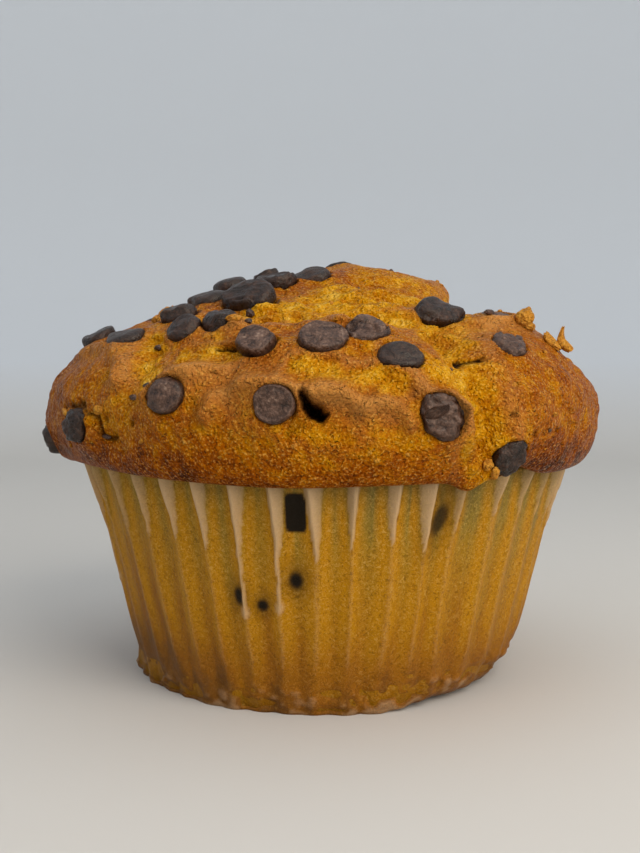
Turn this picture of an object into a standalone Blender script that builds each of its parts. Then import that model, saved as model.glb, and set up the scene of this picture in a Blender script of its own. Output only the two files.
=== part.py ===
"""A chocolate-chip muffin in a fluted paper baking case.

The cake is one turned form whose cap is then swelled, cracked and creased by named
features.  The paper case is a lofted, pleated cup around its body, with its rim
tucked up under the cap.  Every chocolate chip is a flattened drop that sits in its
own pocket in the crust or in the side of the body.

Sizes below are in millimetres.  Azimuth is in degrees about +Z, 0 at the front (-Y)
and positive towards +X.  Climb runs along the cap's outline, 0 at the lip over the
paper and 1 at the crown.
"""

import math
from collections import namedtuple

import bmesh
import bpy
import numpy as np
from mathutils import Matrix, Vector

MM = 0.001

# ---- paper case: a 2 1/4 by 1 3/8 inch baking cup ----
CASE_BASE_RADIUS = 28.6          # mean radius of the flat base
CASE_SLOPE = 13.2                # lean of the wall, degrees
CASE_RIM_HEIGHT = 32.9           # the rim, tucked under the cap
CASE_PAPER = 0.35                # modelled thickness of the paper
PLEATS = 40
PLEAT_TURN = 5.5                 # degrees from the front to the nearest crest
PLEAT_DEPTH_BASE = 0.35          # crest to valley, at the foot
PLEAT_DEPTH_RIM = 1.4            # crest to valley, at the rim
CASE_LEVELS = (0.9, 4.5, 14.5, 24.5)
FOOT_INSET = 0.5                 # the base's edge turns in this far
FIT_GAP = 0.3

# ---- cake body and the groove that takes the rim ----
BODY_FLOOR = CASE_PAPER + FIT_GAP
BODY_INSET = PLEAT_DEPTH_RIM / 2 + CASE_PAPER + FIT_GAP
GROOVE_TOP = 33.9
LIP_EDGE = (38.1, 32.2)          # radius and height of the cap's lower edge
LIP_INNER = 37.75
CAP_RADIUS = 41.1
CAP_WIDEST_HEIGHT = 39.8
CAP_RISE = 16.5
CAP_ROUNDNESS = 2.2              # exponent of the dome's superellipse
CAP_HEART = 36.0                 # height of the point that the cap swells away from
CAP_ROWS = 15
TURNS = 64

# ---- the cap's form: swells and hollows (rise below zero) ----
Swell = namedtuple("Swell", "azimuth climb across along turn rise crown")
SWELLS = (
    Swell(106, 0.832, 9.0, 12.5, 0, 4.5, 2.0),     # the knob that broke through the crust
    Swell(-60, 0.88, 12.0, 11.0, 0, 2.1, 1.0),     # its left shoulder, under the pile of chips
    Swell(20, 0.74, 9.0, 7.0, 0, 1.5, 1.0),        # crumb bulging forward from the knob
    Swell(60, 0.47, 9.5, 9.0, 0, 1.3, 1.0),        # right lobe of crust
    Swell(48, 0.22, 10.0, 7.0, 0, 0.5, 1.0),       # its front, over the rim
    Swell(88, 0.36, 9.0, 6.0, 0, -1.1, 1.0),       # flatter flank behind it
    Swell(-72, 0.22, 13.0, 8.0, 0, 0.8, 1.0),      # left lobe
    Swell(-2, 0.19, 15.0, 7.0, 0, 0.5, 1.0),       # front plate of crust
    Swell(-23, 0.268, 4.6, 1.7, -5, 0.8, 1.0),     # crest of a wrinkle, left
    Swell(-11, 0.250, 5.0, 1.5, -8, 0.7, 1.0),     # crest of a wrinkle, middle
    Swell(2, 0.235, 3.6, 2.0, 0, 0.9, 1.0),        # small boss beside the hole
    Swell(-15, 0.315, 9.0, 2.0, 0, -0.7, 1.0),     # trough above the wrinkles
    Swell(-38, 0.36, 4.0, 5.0, 20, -0.8, 1.0),     # hollow between the lobe and the plate
    Swell(-42, 0.12, 5.0, 6.0, 0, -0.4, 1.0),      # slack in the crust below it
    Swell(165, 0.60, 13.0, 9.0, 0, 1.3, 1.0),      # rear lobe
    Swell(-135, 0.50, 11.0, 9.0, 0, 1.2, 1.0),     # rear left lobe
    Swell(112, 0.40, 10.0, 8.0, 0, 0.9, 1.0),      # rear right lobe
    Swell(180, 0.20, 12.0, 6.0, 0, 0.6, 1.0),      # rear plate of crust
)

# ---- seams: cracks (rise below zero) and raised crust edges along a short path ----
Seam = namedtuple("Seam", "width rise path")
SEAMS = (
    # yellow valley from behind the knob, round its right foot and down the front
    Seam(3.0, -2.3, ((128, 0.62), (92, 0.635), (60, 0.60), (36, 0.50), (29, 0.40))),
    Seam(2.8, -1.9, ((29, 0.40), (28, 0.29), (28.5, 0.17), (30, 0.05))),
    # the front plate's raised edge, and the crack behind it
    Seam(1.7, 1.0, ((-23, 0.43), (-10, 0.465), (2, 0.475), (14, 0.44))),
    Seam(1.6, 0.7, ((15, 0.40), (18, 0.31), (22, 0.22), (25, 0.12))),
    Seam(2.6, -1.3, ((-30, 0.50), (-11, 0.545), (4, 0.56), (20, 0.52))),
    # cracks that run over the back
    Seam(2.8, -1.8, ((128, 0.62), (150, 0.72), (-170, 0.70), (-135, 0.68))),
    Seam(2.4, -1.4, ((-135, 0.68), (-108, 0.58), (-96, 0.44))),
    Seam(2.4, -1.5, ((-170, 0.70), (-166, 0.52), (-158, 0.36), (-161, 0.22))),
    Seam(2.2, -1.2, ((134, 0.60), (136, 0.44), (131, 0.30))),
)

# ---- the lip's height round the rim: azimuth, half width in degrees, rise ----
Hem = namedtuple("Hem", "azimuth spread rise")
HEMS = (
    Hem(40, 6.5, 1.5),       # lifted over the chip in the cleft
    Hem(28, 3.0, -1.2),      # a drip beside it
    Hem(-60, 22, 0.7),
    Hem(-8, 14, -0.3),
    Hem(100, 16, 0.6),
    Hem(150, 12, -0.5),
    Hem(-165, 10, 0.7),
    Hem(-120, 14, -0.4),
)

# ---- chocolate chips: place, size, how far they stand out, and tilt ----
# azimuth, climb, length, width, thickness, proud, turn, lean, tip
# proud is the height of the chip's middle above the crust; turn spins it in the crust's
# plane; lean tips its upper edge out, and tip its right edge out, all in degrees.
Chip = namedtuple("Chip", "name azimuth climb length width thick proud turn lean tip")
CHIPS = (
    Chip("front_left", -29.5, 0.215, 5.7, 4.9, 2.7, 0.6, 8, 4, -6),
    Chip("front_middle", -8.7, 0.200, 5.5, 5.0, 2.6, 0.4, 0, 2, 0),
    Chip("plate_left", -14.5, 0.362, 5.4, 4.7, 2.7, 0.7, 0, 8, 0),
    Chip("plate_middle", -0.8, 0.372, 6.6, 5.2, 2.8, 0.6, 14, 10, -4),
    Chip("plate_upper", 8.6, 0.405, 6.0, 5.0, 2.7, 0.8, -10, 4, 6),
    Chip("plate_right", 13.8, 0.308, 6.1, 4.8, 2.8, 0.7, -8, 4, 0),
    Chip("knob_right", 36.4, 0.550, 8.2, 5.2, 3.0, 1.3, 0, 4, 18),
    Chip("valley", 19.8, 0.176, 6.8, 5.4, 3.0, 0.5, -60, 4, 0),
    Chip("lobe_front", 42.0, 0.352, 5.6, 5.0, 2.6, 0.2, 35, -6, 0),
    Chip("lobe_crest", 58.0, 0.512, 6.4, 5.0, 2.5, -0.3, 10, 0, 0),
    Chip("cleft", 35.2, 0.065, 5.6, 4.8, 2.8, 0.2, 50, 6, 0),
    Chip("left_pocket", -53.5, 0.138, 5.2, 4.8, 3.2, 0.4, 0, 0, 0),
    Chip("left_edge", -76.0, 0.080, 5.0, 4.6, 3.2, 0.1, 90, 0, 0),
    Chip("shoulder_far", -71.0, 0.378, 6.2, 5.2, 2.4, 0.7, 0, -8, 0),
    Chip("shoulder_near", -52.5, 0.375, 6.2, 5.4, 2.4, 0.7, 10, -10, 0),
    Chip("pile_left", -47.0, 0.510, 5.8, 5.2, 2.8, 1.0, 20, 0, 0),
    Chip("pile_round", -36.2, 0.426, 5.2, 4.8, 2.8, 0.9, 0, 14, 0),
    Chip("pile_thick", -27.4, 0.456, 5.8, 5.0, 3.2, 0.9, -15, 14, 0),
    Chip("pile_drop", -52.5, 0.632, 6.4, 5.2, 3.0, 0.9, 30, 0, 0),
    Chip("pile_big", -31.0, 0.640, 8.4, 6.2, 3.6, 1.2, 6, 14, 0),
    Chip("pile_back", -69.0, 0.752, 5.6, 5.2, 2.8, 1.5, 0, 0, 0),
    Chip("crown_small", -92.0, 0.860, 4.2, 4.0, 2.8, 1.5, 0, 0, 0),
    Chip("crown_slab", -43.0, 0.828, 6.4, 5.2, 3.0, 1.0, 15, 8, 0),
    Chip("crown_flat", -19.0, 0.905, 5.8, 5.0, 2.6, 0.6, 0, 0, 0),
    Chip("crown_dome", 152.0, 0.930, 4.8, 4.4, 2.6, 0.2, 0, 0, 0),
    Chip("back_high", 176.0, 0.80, 6.2, 5.4, 2.8, 0.9, 20, 0, 0),
    Chip("back_knob", 138.0, 0.74, 6.0, 5.0, 2.8, 0.6, -20, 0, 0),
    Chip("back_left_high", -143.0, 0.60, 6.6, 5.6, 2.8, 0.8, 35, 0, 0),
    Chip("back_left", -118.0, 0.46, 6.0, 5.2, 2.7, 0.7, -15, 0, 0),
    Chip("back_left_low", -128.0, 0.27, 5.8, 5.2, 2.7, 0.5, 25, 0, 0),
    Chip("back_middle", 168.0, 0.42, 6.2, 5.2, 2.8, 0.7, 0, 0, 0),
    Chip("back_low", -174.0, 0.20, 5.6, 5.0, 2.6, 0.4, -30, 0, 0),
    Chip("back_right", 146.0, 0.34, 6.0, 5.4, 2.7, 0.6, 15, 0, 0),
    Chip("back_right_low", 122.0, 0.20, 5.8, 5.0, 2.6, 0.4, 40, 0, 0),
    Chip("right_high", 116.0, 0.42, 6.2, 5.4, 2.7, 0.6, -25, 0, 0),
    Chip("right_low", 101.0, 0.15, 5.4, 4.8, 2.6, 0.2, 10, 0, 0),
)

# ---- chips in the side of the body, behind the paper: azimuth, height, then as above ----
SideChip = namedtuple("SideChip", "name azimuth height length width thick turn")
SIDE_CHIPS = (
    SideChip("case_upper", -6.6, 28.4, 6.2, 3.2, 2.6, 90),
    SideChip("case_left", -21.0, 16.8, 4.2, 2.4, 2.0, 90),
    SideChip("case_middle", -15.4, 15.6, 2.8, 2.5, 2.0, 60),
    SideChip("case_centre", -7.0, 19.2, 4.0, 3.0, 2.4, 90),
    SideChip("case_right", 25.4, 27.0, 5.8, 3.4, 2.6, 70),
)

SIDE_CHIP_PROUD = 0.05           # out of the body's side, short of the paper

# ---- a chip's turned outline, top to bottom: share of its radius, share of its thickness ----
CHIP_SIDES = 9
POCKET_GAP = 0.35                # room all round a chip in its pocket
CHIP_OUTLINE = ((0.0, 0.5), (0.74, 0.38), (1.0, -0.08), (0.70, -0.5), (0.0, -0.5))


def smoothstep(low, high, value):
    """Ease from 0 at low to 1 at high."""
    share = np.clip((value - low) / (high - low), 0.0, 1.0)
    return share * share * (3.0 - 2.0 * share)


def wall_radius(height):
    """Mean radius of the paper wall at a height."""
    return CASE_BASE_RADIUS + height * math.tan(math.radians(CASE_SLOPE))


# ---------------------------------------------------------------- the cap's form


def cap_outline(samples=1600):
    """Climb, radius and height along the plain cap's outline, from lip to crown.

    A quarter ellipse swells out under the widest ring, and a superellipse closes the
    dome above it.  Climb is the share of the outline's length.
    """
    swing = np.linspace(0.0, math.pi / 2, samples)
    low_radius = LIP_EDGE[0] + (CAP_RADIUS - LIP_EDGE[0]) * np.sin(swing)
    low_height = CAP_WIDEST_HEIGHT - (CAP_WIDEST_HEIGHT - LIP_EDGE[1]) * np.cos(swing)
    power = 2.0 / CAP_ROUNDNESS
    top_radius = CAP_RADIUS * np.cos(swing) ** power
    top_height = CAP_WIDEST_HEIGHT + CAP_RISE * np.sin(swing) ** power
    top_radius[-1] = 0.0
    radius = np.concatenate([low_radius, top_radius[1:]])
    height = np.concatenate([low_height, top_height[1:]])
    steps = np.hypot(np.diff(radius), np.diff(height))
    climb = np.concatenate([[0.0], np.cumsum(steps)])
    return climb / climb[-1], radius, height


OUTLINE = cap_outline()


def plain_point(azimuth, climb):
    """Point of the plain, turned cap at an azimuth in degrees and a climb."""
    radius = np.interp(climb, OUTLINE[0], OUTLINE[1])
    height = np.interp(climb, OUTLINE[0], OUTLINE[2])
    angle = np.radians(azimuth)
    return np.stack([radius * np.sin(angle), -radius * np.cos(angle), height + 0 * angle], axis=-1)


def local_axes(azimuth, climb):
    """Unit vectors across (towards +azimuth) and along (up the outline) at a point."""
    angle = math.radians(azimuth)
    across = np.array([math.cos(angle), math.sin(angle), 0.0])
    step = 0.004
    along = plain_point(azimuth, min(climb + step, 1.0)) - plain_point(azimuth, climb - step)
    return across, along / np.linalg.norm(along)


def swell_rise(points, swell):
    """Rise of one swell: rise * exp(-q^crown), with q its elliptic distance squared."""
    centre = plain_point(swell.azimuth, swell.climb)
    across, along = local_axes(swell.azimuth, swell.climb)
    turn = math.radians(swell.turn)
    first = math.cos(turn) * across + math.sin(turn) * along
    second = math.cos(turn) * along - math.sin(turn) * across
    offset = points - centre
    side = offset @ first
    up = offset @ second
    deep = (offset ** 2).sum(axis=-1) - side ** 2 - up ** 2
    reach = min(swell.across, swell.along)
    q = (side / swell.across) ** 2 + (up / swell.along) ** 2 + np.maximum(deep, 0.0) / (2 * reach) ** 2
    return swell.rise * np.exp(-q ** swell.crown)


def seam_rise(points, seam):
    """Rise of one seam: rise * exp(-(d / width)^2), with d the distance to its path."""
    stops = [plain_point(azimuth, climb) for azimuth, climb in seam.path]
    nearest = np.full(points.shape[:-1], np.inf)
    for start, end in zip(stops[:-1], stops[1:]):
        run = end - start
        share = np.clip(((points - start) @ run) / (run @ run), 0.0, 1.0)
        gap = points - (start + share[..., None] * run)
        nearest = np.minimum(nearest, (gap ** 2).sum(axis=-1))
    return seam.rise * np.exp(-nearest / seam.width ** 2)


def hem_rise(azimuth):
    """Height of the lip's lower edge above its mean, by azimuth in degrees."""
    total = np.zeros_like(azimuth)
    for hem in HEMS:
        away = (azimuth - hem.azimuth + 180.0) % 360.0 - 180.0
        total += hem.rise * np.exp(-(away / hem.spread) ** 2)
    return total


def shape_cap(points):
    """Move points of the plain cap to the real, uneven cap.

    Each point goes along its ray from the cap's heart by the sum of all swells and
    seams, eased in above the lip, and the lip itself goes up or down with the hem.
    """
    rise = np.zeros(points.shape[:-1])
    for swell in SWELLS:
        rise += swell_rise(points, swell)
    for seam in SEAMS:
        rise += seam_rise(points, seam)
    azimuth = np.degrees(np.arctan2(points[..., 0], -points[..., 1]))
    heart = np.array([0.0, 0.0, CAP_HEART])
    ray = points - heart
    ray /= np.linalg.norm(ray, axis=-1, keepdims=True)
    above_lip = smoothstep(LIP_EDGE[1], LIP_EDGE[1] + 4.5, points[..., 2])
    near_lip = 1.0 - smoothstep(LIP_EDGE[1], CAP_WIDEST_HEIGHT, points[..., 2])
    moved = points + ray * (rise * above_lip)[..., None]
    moved[..., 2] += hem_rise(azimuth) * near_lip
    return moved


def cap_point(azimuth, climb):
    """Point of the real cap at an azimuth and a climb."""
    return shape_cap(plain_point(np.asarray(azimuth, float), np.asarray(climb, float)))


def cap_frame(azimuth, climb):
    """Point, across, along and outward unit vectors of the real cap, smoothed over a chip."""
    turn_step, climb_step = 2.2, 0.032
    point = cap_point(azimuth, climb)
    across = cap_point(azimuth + turn_step, climb) - cap_point(azimuth - turn_step, climb)
    along = cap_point(azimuth, min(climb + climb_step, 0.999)) - cap_point(azimuth, climb - climb_step)
    across /= np.linalg.norm(across)
    outward = np.cross(across, along)
    outward /= np.linalg.norm(outward)
    along = np.cross(outward, across)
    return point, across, along, outward


# ---------------------------------------------------------------- Blender helpers


def clear_scene():
    for old in list(bpy.data.objects):
        bpy.data.objects.remove(old, do_unlink=True)


def new_collection(name):
    collection = bpy.data.collections.new(name)
    bpy.context.scene.collection.children.link(collection)
    return collection


def add_object(name, mesh, collection, material=None):
    item = bpy.data.objects.new(name, mesh)
    collection.objects.link(item)
    if material:
        item.data.materials.append(material)
    return item


def finish(name, colour, roughness, subsurface=0.0):
    """A Principled material; colour is linear RGB."""
    material = bpy.data.materials.new(name)
    material.use_nodes = True
    shader = material.node_tree.nodes["Principled BSDF"]
    shader.inputs["Base Color"].default_value = (*colour, 1.0)
    shader.inputs["Roughness"].default_value = roughness
    shader.inputs["Metallic"].default_value = 0.0
    shader.inputs["Subsurface Weight"].default_value = subsurface
    return material


def turned_mesh(name, outline, steps):
    """Mesh of an outline of (radius, height) pairs in metres, run top to bottom, turned about Z."""
    mesh = bpy.data.meshes.new(name + "_outline")
    edges = [(i, i + 1) for i in range(len(outline) - 1)]
    mesh.from_pydata([(radius, 0.0, height) for radius, height in outline], edges, [])
    item = add_object(name + "_outline", mesh, bpy.context.scene.collection)
    screw = item.modifiers.new("Turn", "SCREW")
    screw.steps = steps
    screw.render_steps = steps
    screw.use_merge_vertices = True
    screw.merge_threshold = 0.00001
    graph = bpy.context.evaluated_depsgraph_get()
    turned = bpy.data.meshes.new_from_object(item.evaluated_get(graph))
    turned.name = name
    bpy.data.objects.remove(item, do_unlink=True)
    return turned


def move_vertices(mesh, mover):
    """Send a mesh's points, as an array in millimetres, through mover and store the result."""
    flat = np.empty(len(mesh.vertices) * 3)
    mesh.vertices.foreach_get("co", flat)
    moved = mover(flat.reshape(-1, 3) / MM) * MM
    mesh.vertices.foreach_set("co", moved.ravel())
    mesh.update()


# ---------------------------------------------------------------- the parts


def build_cake(collection, cutters, material):
    """The whole baked cake: body, rim groove and domed cap, with a pocket for each chip."""
    rows = np.linspace(1.0, 0.0, CAP_ROWS)
    radius = np.interp(rows, OUTLINE[0], OUTLINE[1])
    height = np.interp(rows, OUTLINE[0], OUTLINE[2])
    outline = list(zip(radius, height))
    outline.append((LIP_INNER, GROOVE_TOP))
    groove_inner = wall_radius(GROOVE_TOP) - BODY_INSET
    outline.append((groove_inner, GROOVE_TOP))
    for level in (24.0, 15.0, 6.0, 1.8):
        outline.append((wall_radius(level) - BODY_INSET, level))
    outline.append((wall_radius(0) - BODY_INSET - 1.2, BODY_FLOOR))
    outline.append((0.0, BODY_FLOOR))
    mesh = turned_mesh("cake", [(r * MM, z * MM) for r, z in outline], TURNS)

    def mover(points):
        plan = np.hypot(points[:, 0], points[:, 1])
        inside = (plan < LIP_INNER + 0.05) & (points[:, 2] < GROOVE_TOP + 0.05)
        moved = shape_cap(points)
        moved[inside] = points[inside]
        return moved

    move_vertices(mesh, mover)
    mesh.shade_smooth()
    cake = add_object("cake", mesh, collection, material)
    cut = cake.modifiers.new("Chip pockets", "BOOLEAN")
    cut.operation = "DIFFERENCE"
    cut.solver = "EXACT"
    cut.operand_type = "COLLECTION"
    cut.collection = cutters
    return cake


def build_case(collection, material):
    """The pleated paper cup: a loft of zigzag rings up from a round base, then thickened."""
    count = 2 * PLEATS
    angle = np.arange(count) * 2 * math.pi / count + math.radians(PLEAT_TURN)
    crest = np.where(np.arange(count) % 2 == 0, 1.0, -1.0)
    levels = (0.0,) + CASE_LEVELS + (CASE_RIM_HEIGHT,)
    rings = []
    for level in levels:
        share = level / CASE_RIM_HEIGHT
        depth = PLEAT_DEPTH_BASE + (PLEAT_DEPTH_RIM - PLEAT_DEPTH_BASE) * share
        radius = wall_radius(level) + crest * depth / 2
        if level == 0.0:
            radius = np.full(count, wall_radius(0) - FOOT_INSET)
        rings.append(np.stack([radius * np.sin(angle), -radius * np.cos(angle),
                               np.full(count, level)], axis=-1))
    points = np.concatenate(rings)
    faces = [tuple(range(count))[::-1]]
    for ring in range(len(levels) - 1):
        low, high = ring * count, (ring + 1) * count
        for i in range(count):
            j = (i + 1) % count
            faces.append((low + i, low + j, high + j, high + i))
    mesh = bpy.data.meshes.new("paper_case")
    mesh.from_pydata([tuple(p) for p in points * MM], [], faces)
    case = add_object("paper_case", mesh, collection, material)
    wall = case.modifiers.new("Paper", "SOLIDIFY")
    wall.thickness = CASE_PAPER * MM
    wall.offset = -1.0
    return case


def chip_mesh(name, length, width, thick, grow=0.0):
    """A flattened drop of chocolate, grown all round by grow for a cutter."""
    outline = [(radius, height * (thick + 2 * grow) * MM) for radius, height in CHIP_OUTLINE]
    mesh = turned_mesh(name, outline, CHIP_SIDES)
    stretch = Matrix.Diagonal(((length / 2 + grow) * MM, (width / 2 + grow) * MM, 1.0, 1.0))
    mesh.transform(stretch)
    return mesh


def placement(point, across, along, outward, turn, lean=0.0, tip=0.0):
    """World matrix from a surface frame and a chip's own angles in degrees."""
    basis = Matrix((Vector(across), Vector(along), Vector(outward))).transposed().to_4x4()
    own = (Matrix.Rotation(math.radians(lean), 4, "X")
           @ Matrix.Rotation(math.radians(-tip), 4, "Y")
           @ Matrix.Rotation(math.radians(turn), 4, "Z"))
    return Matrix.Translation(Vector(point) * MM) @ basis @ own


def build_chip(chip, matrix, collection, cutters, material):
    """One chip, and the slightly larger cutter that makes its pocket."""
    mesh = chip_mesh("chip_" + chip.name, chip.length, chip.width, chip.thick)
    mesh.shade_smooth()
    item = add_object("chip_" + chip.name, mesh, collection, material)
    item.matrix_world = matrix
    pocket = chip_mesh("pocket_" + chip.name, chip.length, chip.width, chip.thick, grow=POCKET_GAP)
    cutter = add_object("pocket_" + chip.name, pocket, cutters)
    cutter.matrix_world = matrix
    cutter.hide_render = True
    cutter.display_type = "WIRE"


def cap_chip_matrix(chip):
    """Place of a chip on the cap, its middle standing proud of the crust."""
    point, across, along, outward = cap_frame(chip.azimuth, chip.climb)
    return placement(point + outward * chip.proud, across, along, outward,
                     chip.turn, chip.lean, chip.tip)


def side_chip_matrix(chip):
    """Place of a chip in the body's side, its face just behind the paper."""
    angle, lean = math.radians(chip.azimuth), math.radians(CASE_SLOPE)
    radial = np.array([math.sin(angle), -math.cos(angle), 0.0])
    across = np.array([math.cos(angle), math.sin(angle), 0.0])
    outward = radial * math.cos(lean) - np.array([0.0, 0.0, math.sin(lean)])
    along = np.cross(outward, across)
    surface = radial * (wall_radius(chip.height) - BODY_INSET) + np.array([0.0, 0.0, chip.height])
    centre = surface - outward * (chip.thick / 2 - SIDE_CHIP_PROUD)
    return placement(centre, across, along, outward, chip.turn)


def main():
    clear_scene()
    muffin = new_collection("chocolate_chip_muffin")
    cutters = new_collection("cutters")
    cake_finish = finish("baked_cake", (0.42, 0.17, 0.03), 0.55, subsurface=0.1)
    paper_finish = finish("greaseproof_paper", (0.36, 0.17, 0.03), 0.5)
    chip_finish = finish("dark_chocolate", (0.045, 0.022, 0.015), 0.4)
    for chip in CHIPS:
        build_chip(chip, cap_chip_matrix(chip), muffin, cutters, chip_finish)
    for chip in SIDE_CHIPS:
        build_chip(chip, side_chip_matrix(chip), muffin, cutters, chip_finish)
    build_cake(muffin, cutters, cake_finish)
    build_case(muffin, paper_finish)


main()
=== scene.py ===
"""Looks of a chocolate-chip muffin in its pleated paper case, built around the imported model.

Lengths are in millimetres unless a name ends in _m.  Azimuth is in degrees about +Z, 0 at
the front (-Y) and positive towards +X.  Climb runs up the cap's outline, 0 at the lip over
the paper and 1 at the crown.
"""

from __future__ import annotations

import logging
import math
from collections.abc import Callable
from dataclasses import dataclass, field
from enum import Enum

import bpy
import numpy as np
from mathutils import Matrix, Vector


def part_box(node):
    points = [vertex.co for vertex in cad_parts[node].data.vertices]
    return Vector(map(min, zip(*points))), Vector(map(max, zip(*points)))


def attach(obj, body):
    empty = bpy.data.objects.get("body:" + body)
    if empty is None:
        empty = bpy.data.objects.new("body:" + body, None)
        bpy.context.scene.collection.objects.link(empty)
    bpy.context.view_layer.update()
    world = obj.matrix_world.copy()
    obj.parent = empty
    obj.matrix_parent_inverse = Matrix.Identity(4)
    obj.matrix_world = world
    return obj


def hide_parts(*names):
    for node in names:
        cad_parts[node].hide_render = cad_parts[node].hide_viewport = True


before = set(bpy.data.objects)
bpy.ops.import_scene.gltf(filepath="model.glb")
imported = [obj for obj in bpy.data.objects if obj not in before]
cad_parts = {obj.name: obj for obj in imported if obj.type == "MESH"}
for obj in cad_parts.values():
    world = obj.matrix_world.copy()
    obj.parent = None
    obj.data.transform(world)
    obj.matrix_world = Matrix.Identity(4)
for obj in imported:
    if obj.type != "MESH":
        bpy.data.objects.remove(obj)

LOG = logging.getLogger("muffin")
MM = 0.001
BODY = "root"

Array = np.ndarray
Piece = bpy.types.Object
Tree = bpy.types.NodeTree
Socket = bpy.types.NodeSocket
Place = tuple[float, float, float]
Stops = tuple[tuple[float, str], ...]


# ------------------------------------------------------------------ numbers and noise


def smoothstep(low: float, high: float, value: Array) -> Array:
    """Ease from 0 at low to 1 at high: 3t^2 - 2t^3 of the share t.

    Args:
        low: Where the ease starts.
        high: Where it ends; below low turns the ease round.
        value: Values to ease.

    Returns:
        Eased values from 0 to 1.
    """
    share = np.clip((value - low) / (high - low), 0.0, 1.0)
    return share * share * (3.0 - 2.0 * share)


def unit(vectors: Array) -> Array:
    """Vectors scaled to length one along the last axis."""
    return vectors / np.maximum(np.linalg.norm(vectors, axis=-1, keepdims=True), 1e-9)


class Grain:
    """Repeatable noise from a seeded block of random numbers that wraps round."""

    SIDE = 32
    LAYER_SHIFT = 17.3      # keeps one layer's block values off the next one's

    def __init__(self, seed: int) -> None:
        """Draw the block of values and the block of cell offsets."""
        draw = np.random.default_rng(seed)
        self.values = draw.random((self.SIDE,) * 3)
        self.offsets = draw.random((self.SIDE,) * 3 + (3,))

    def soft(self, points: Array, size: float) -> Array:
        """Smooth noise from -1 to 1: block values blended between their eight neighbours.

        Args:
            points: Places, in mm.
            size: Distance between block values, in mm.

        Returns:
            One value for each point.
        """
        scaled = points / size
        cell = np.floor(scaled).astype(int)
        share = scaled - cell
        ease = share * share * share * (share * (share * 6.0 - 15.0) + 10.0)
        total = np.zeros(points.shape[:-1])
        for corner in np.ndindex(2, 2, 2):
            index = (cell + corner) % self.SIDE
            weight = np.where(corner, ease, 1.0 - ease).prod(axis=-1)
            total += weight * self.values[index[..., 0], index[..., 1], index[..., 2]]
        return 2.0 * total - 1.0

    def layered(self, points: Array, size: float, layers: int = 3, fall: float = 0.5) -> Array:
        """Sum of soft noise, each layer half as coarse and fall times as strong.

        Args:
            points: Places, in mm.
            size: Distance between block values of the first layer, in mm.
            layers: How many layers.
            fall: Strength of a layer against the one before.

        Returns:
            One value for each point, from -1 to 1.
        """
        total, strength, whole = np.zeros(points.shape[:-1]), 1.0, 0.0
        for layer in range(layers):
            total += strength * self.soft(points + self.LAYER_SHIFT * layer, size / 2 ** layer)
            whole += strength
            strength *= fall
        return total / whole

    def ridged(self, points: Array, size: float, layers: int = 2) -> Array:
        """Creases from 0 to 1: one less the absolute layered noise, sharpened by squaring."""
        return (1.0 - np.abs(self.layered(points, size, layers))) ** 2

    def cells(self, points: Array, size: float) -> Array:
        """Distance, in cells, to the nearest of one jittered dot a cell.

        Args:
            points: Places, in mm.
            size: Width of a cell, in mm.

        Returns:
            One distance for each point.
        """
        scaled = points / size
        cell = np.floor(scaled).astype(int)
        nearest = np.full(points.shape[:-1], np.inf)
        for step in np.ndindex(3, 3, 3):
            here = cell + np.array(step) - 1
            index = here % self.SIDE
            dot = here + self.offsets[index[..., 0], index[..., 1], index[..., 2]]
            nearest = np.minimum(nearest, np.linalg.norm(scaled - dot, axis=-1))
        return nearest


# ------------------------------------------------------------------ meshes


def grid_faces(rows: int, columns: int, closed: bool) -> Array:
    """Quads of a grid of rows x columns points; closed joins the last column to the first.

    Args:
        rows: Points up the grid.
        columns: Points across it.
        closed: Whether it runs round.

    Returns:
        Corner indices, four a face, counter-clockwise with rows up and columns to the right.
    """
    row = np.arange(rows - 1)[:, None]
    column = np.arange(columns if closed else columns - 1)[None, :]
    right = (column + 1) % columns
    quads = [row * columns + column, row * columns + right,
             (row + 1) * columns + right, (row + 1) * columns + column]
    shape = (rows - 1, column.size)
    return np.stack([np.broadcast_to(quad, shape) for quad in quads], axis=-1).reshape(-1, 4)


def fan_faces(ring: Array, hub: int) -> Array:
    """Triangles from each edge of a closed ring to a hub point.

    Args:
        ring: Indices round the ring.
        hub: Index of the hub.

    Returns:
        Corner indices, three a face.
    """
    return np.stack([ring, np.roll(ring, -1), np.full_like(ring, hub)], axis=-1)


def turned(radius: Array, height: Array, turns: int) -> Array:
    """A profile turned round +Z: points at radius (cos t, sin t), one ring for each height."""
    turn = np.linspace(0.0, 2 * math.pi, turns, endpoint=False)[None, :]
    return np.stack([radius[:, None] * np.cos(turn), radius[:, None] * np.sin(turn),
                     height[:, None] + 0 * turn], axis=-1).reshape(-1, 3)


def around(azimuth: Array, radius: Array, height: Array) -> Array:
    """Points at an azimuth in degrees, a radius and a height: r (sin a, -cos a), z."""
    angle = np.radians(azimuth)
    return np.stack([radius * np.sin(angle), -radius * np.cos(angle), height + 0 * angle], axis=-1)


def ball(radius: Array, height: Array, turns: int) -> tuple[Array, Array, Array]:
    """A closed form of rings from the top down, between poles at heights 1 and -1.

    Args:
        radius: Radius of each ring.
        height: Height of each ring.
        turns: Points round a ring.

    Returns:
        Points, quads and triangles, which face out.
    """
    points = np.concatenate([turned(radius, height, turns), [[0.0, 0.0, 1.0], [0.0, 0.0, -1.0]]])
    count = len(points) - 2
    top = fan_faces(np.arange(turns), count)
    bottom = fan_faces(np.arange(count - turns, count), count + 1)[:, ::-1]
    return points, grid_faces(len(radius), turns, True)[:, ::-1], np.concatenate([top, bottom])


def add_object(name: str, data: bpy.types.ID) -> Piece:
    """A new object in the scene that shows a mesh, a light or a camera."""
    item = bpy.data.objects.new(name, data)
    bpy.context.scene.collection.objects.link(item)
    return item


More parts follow.
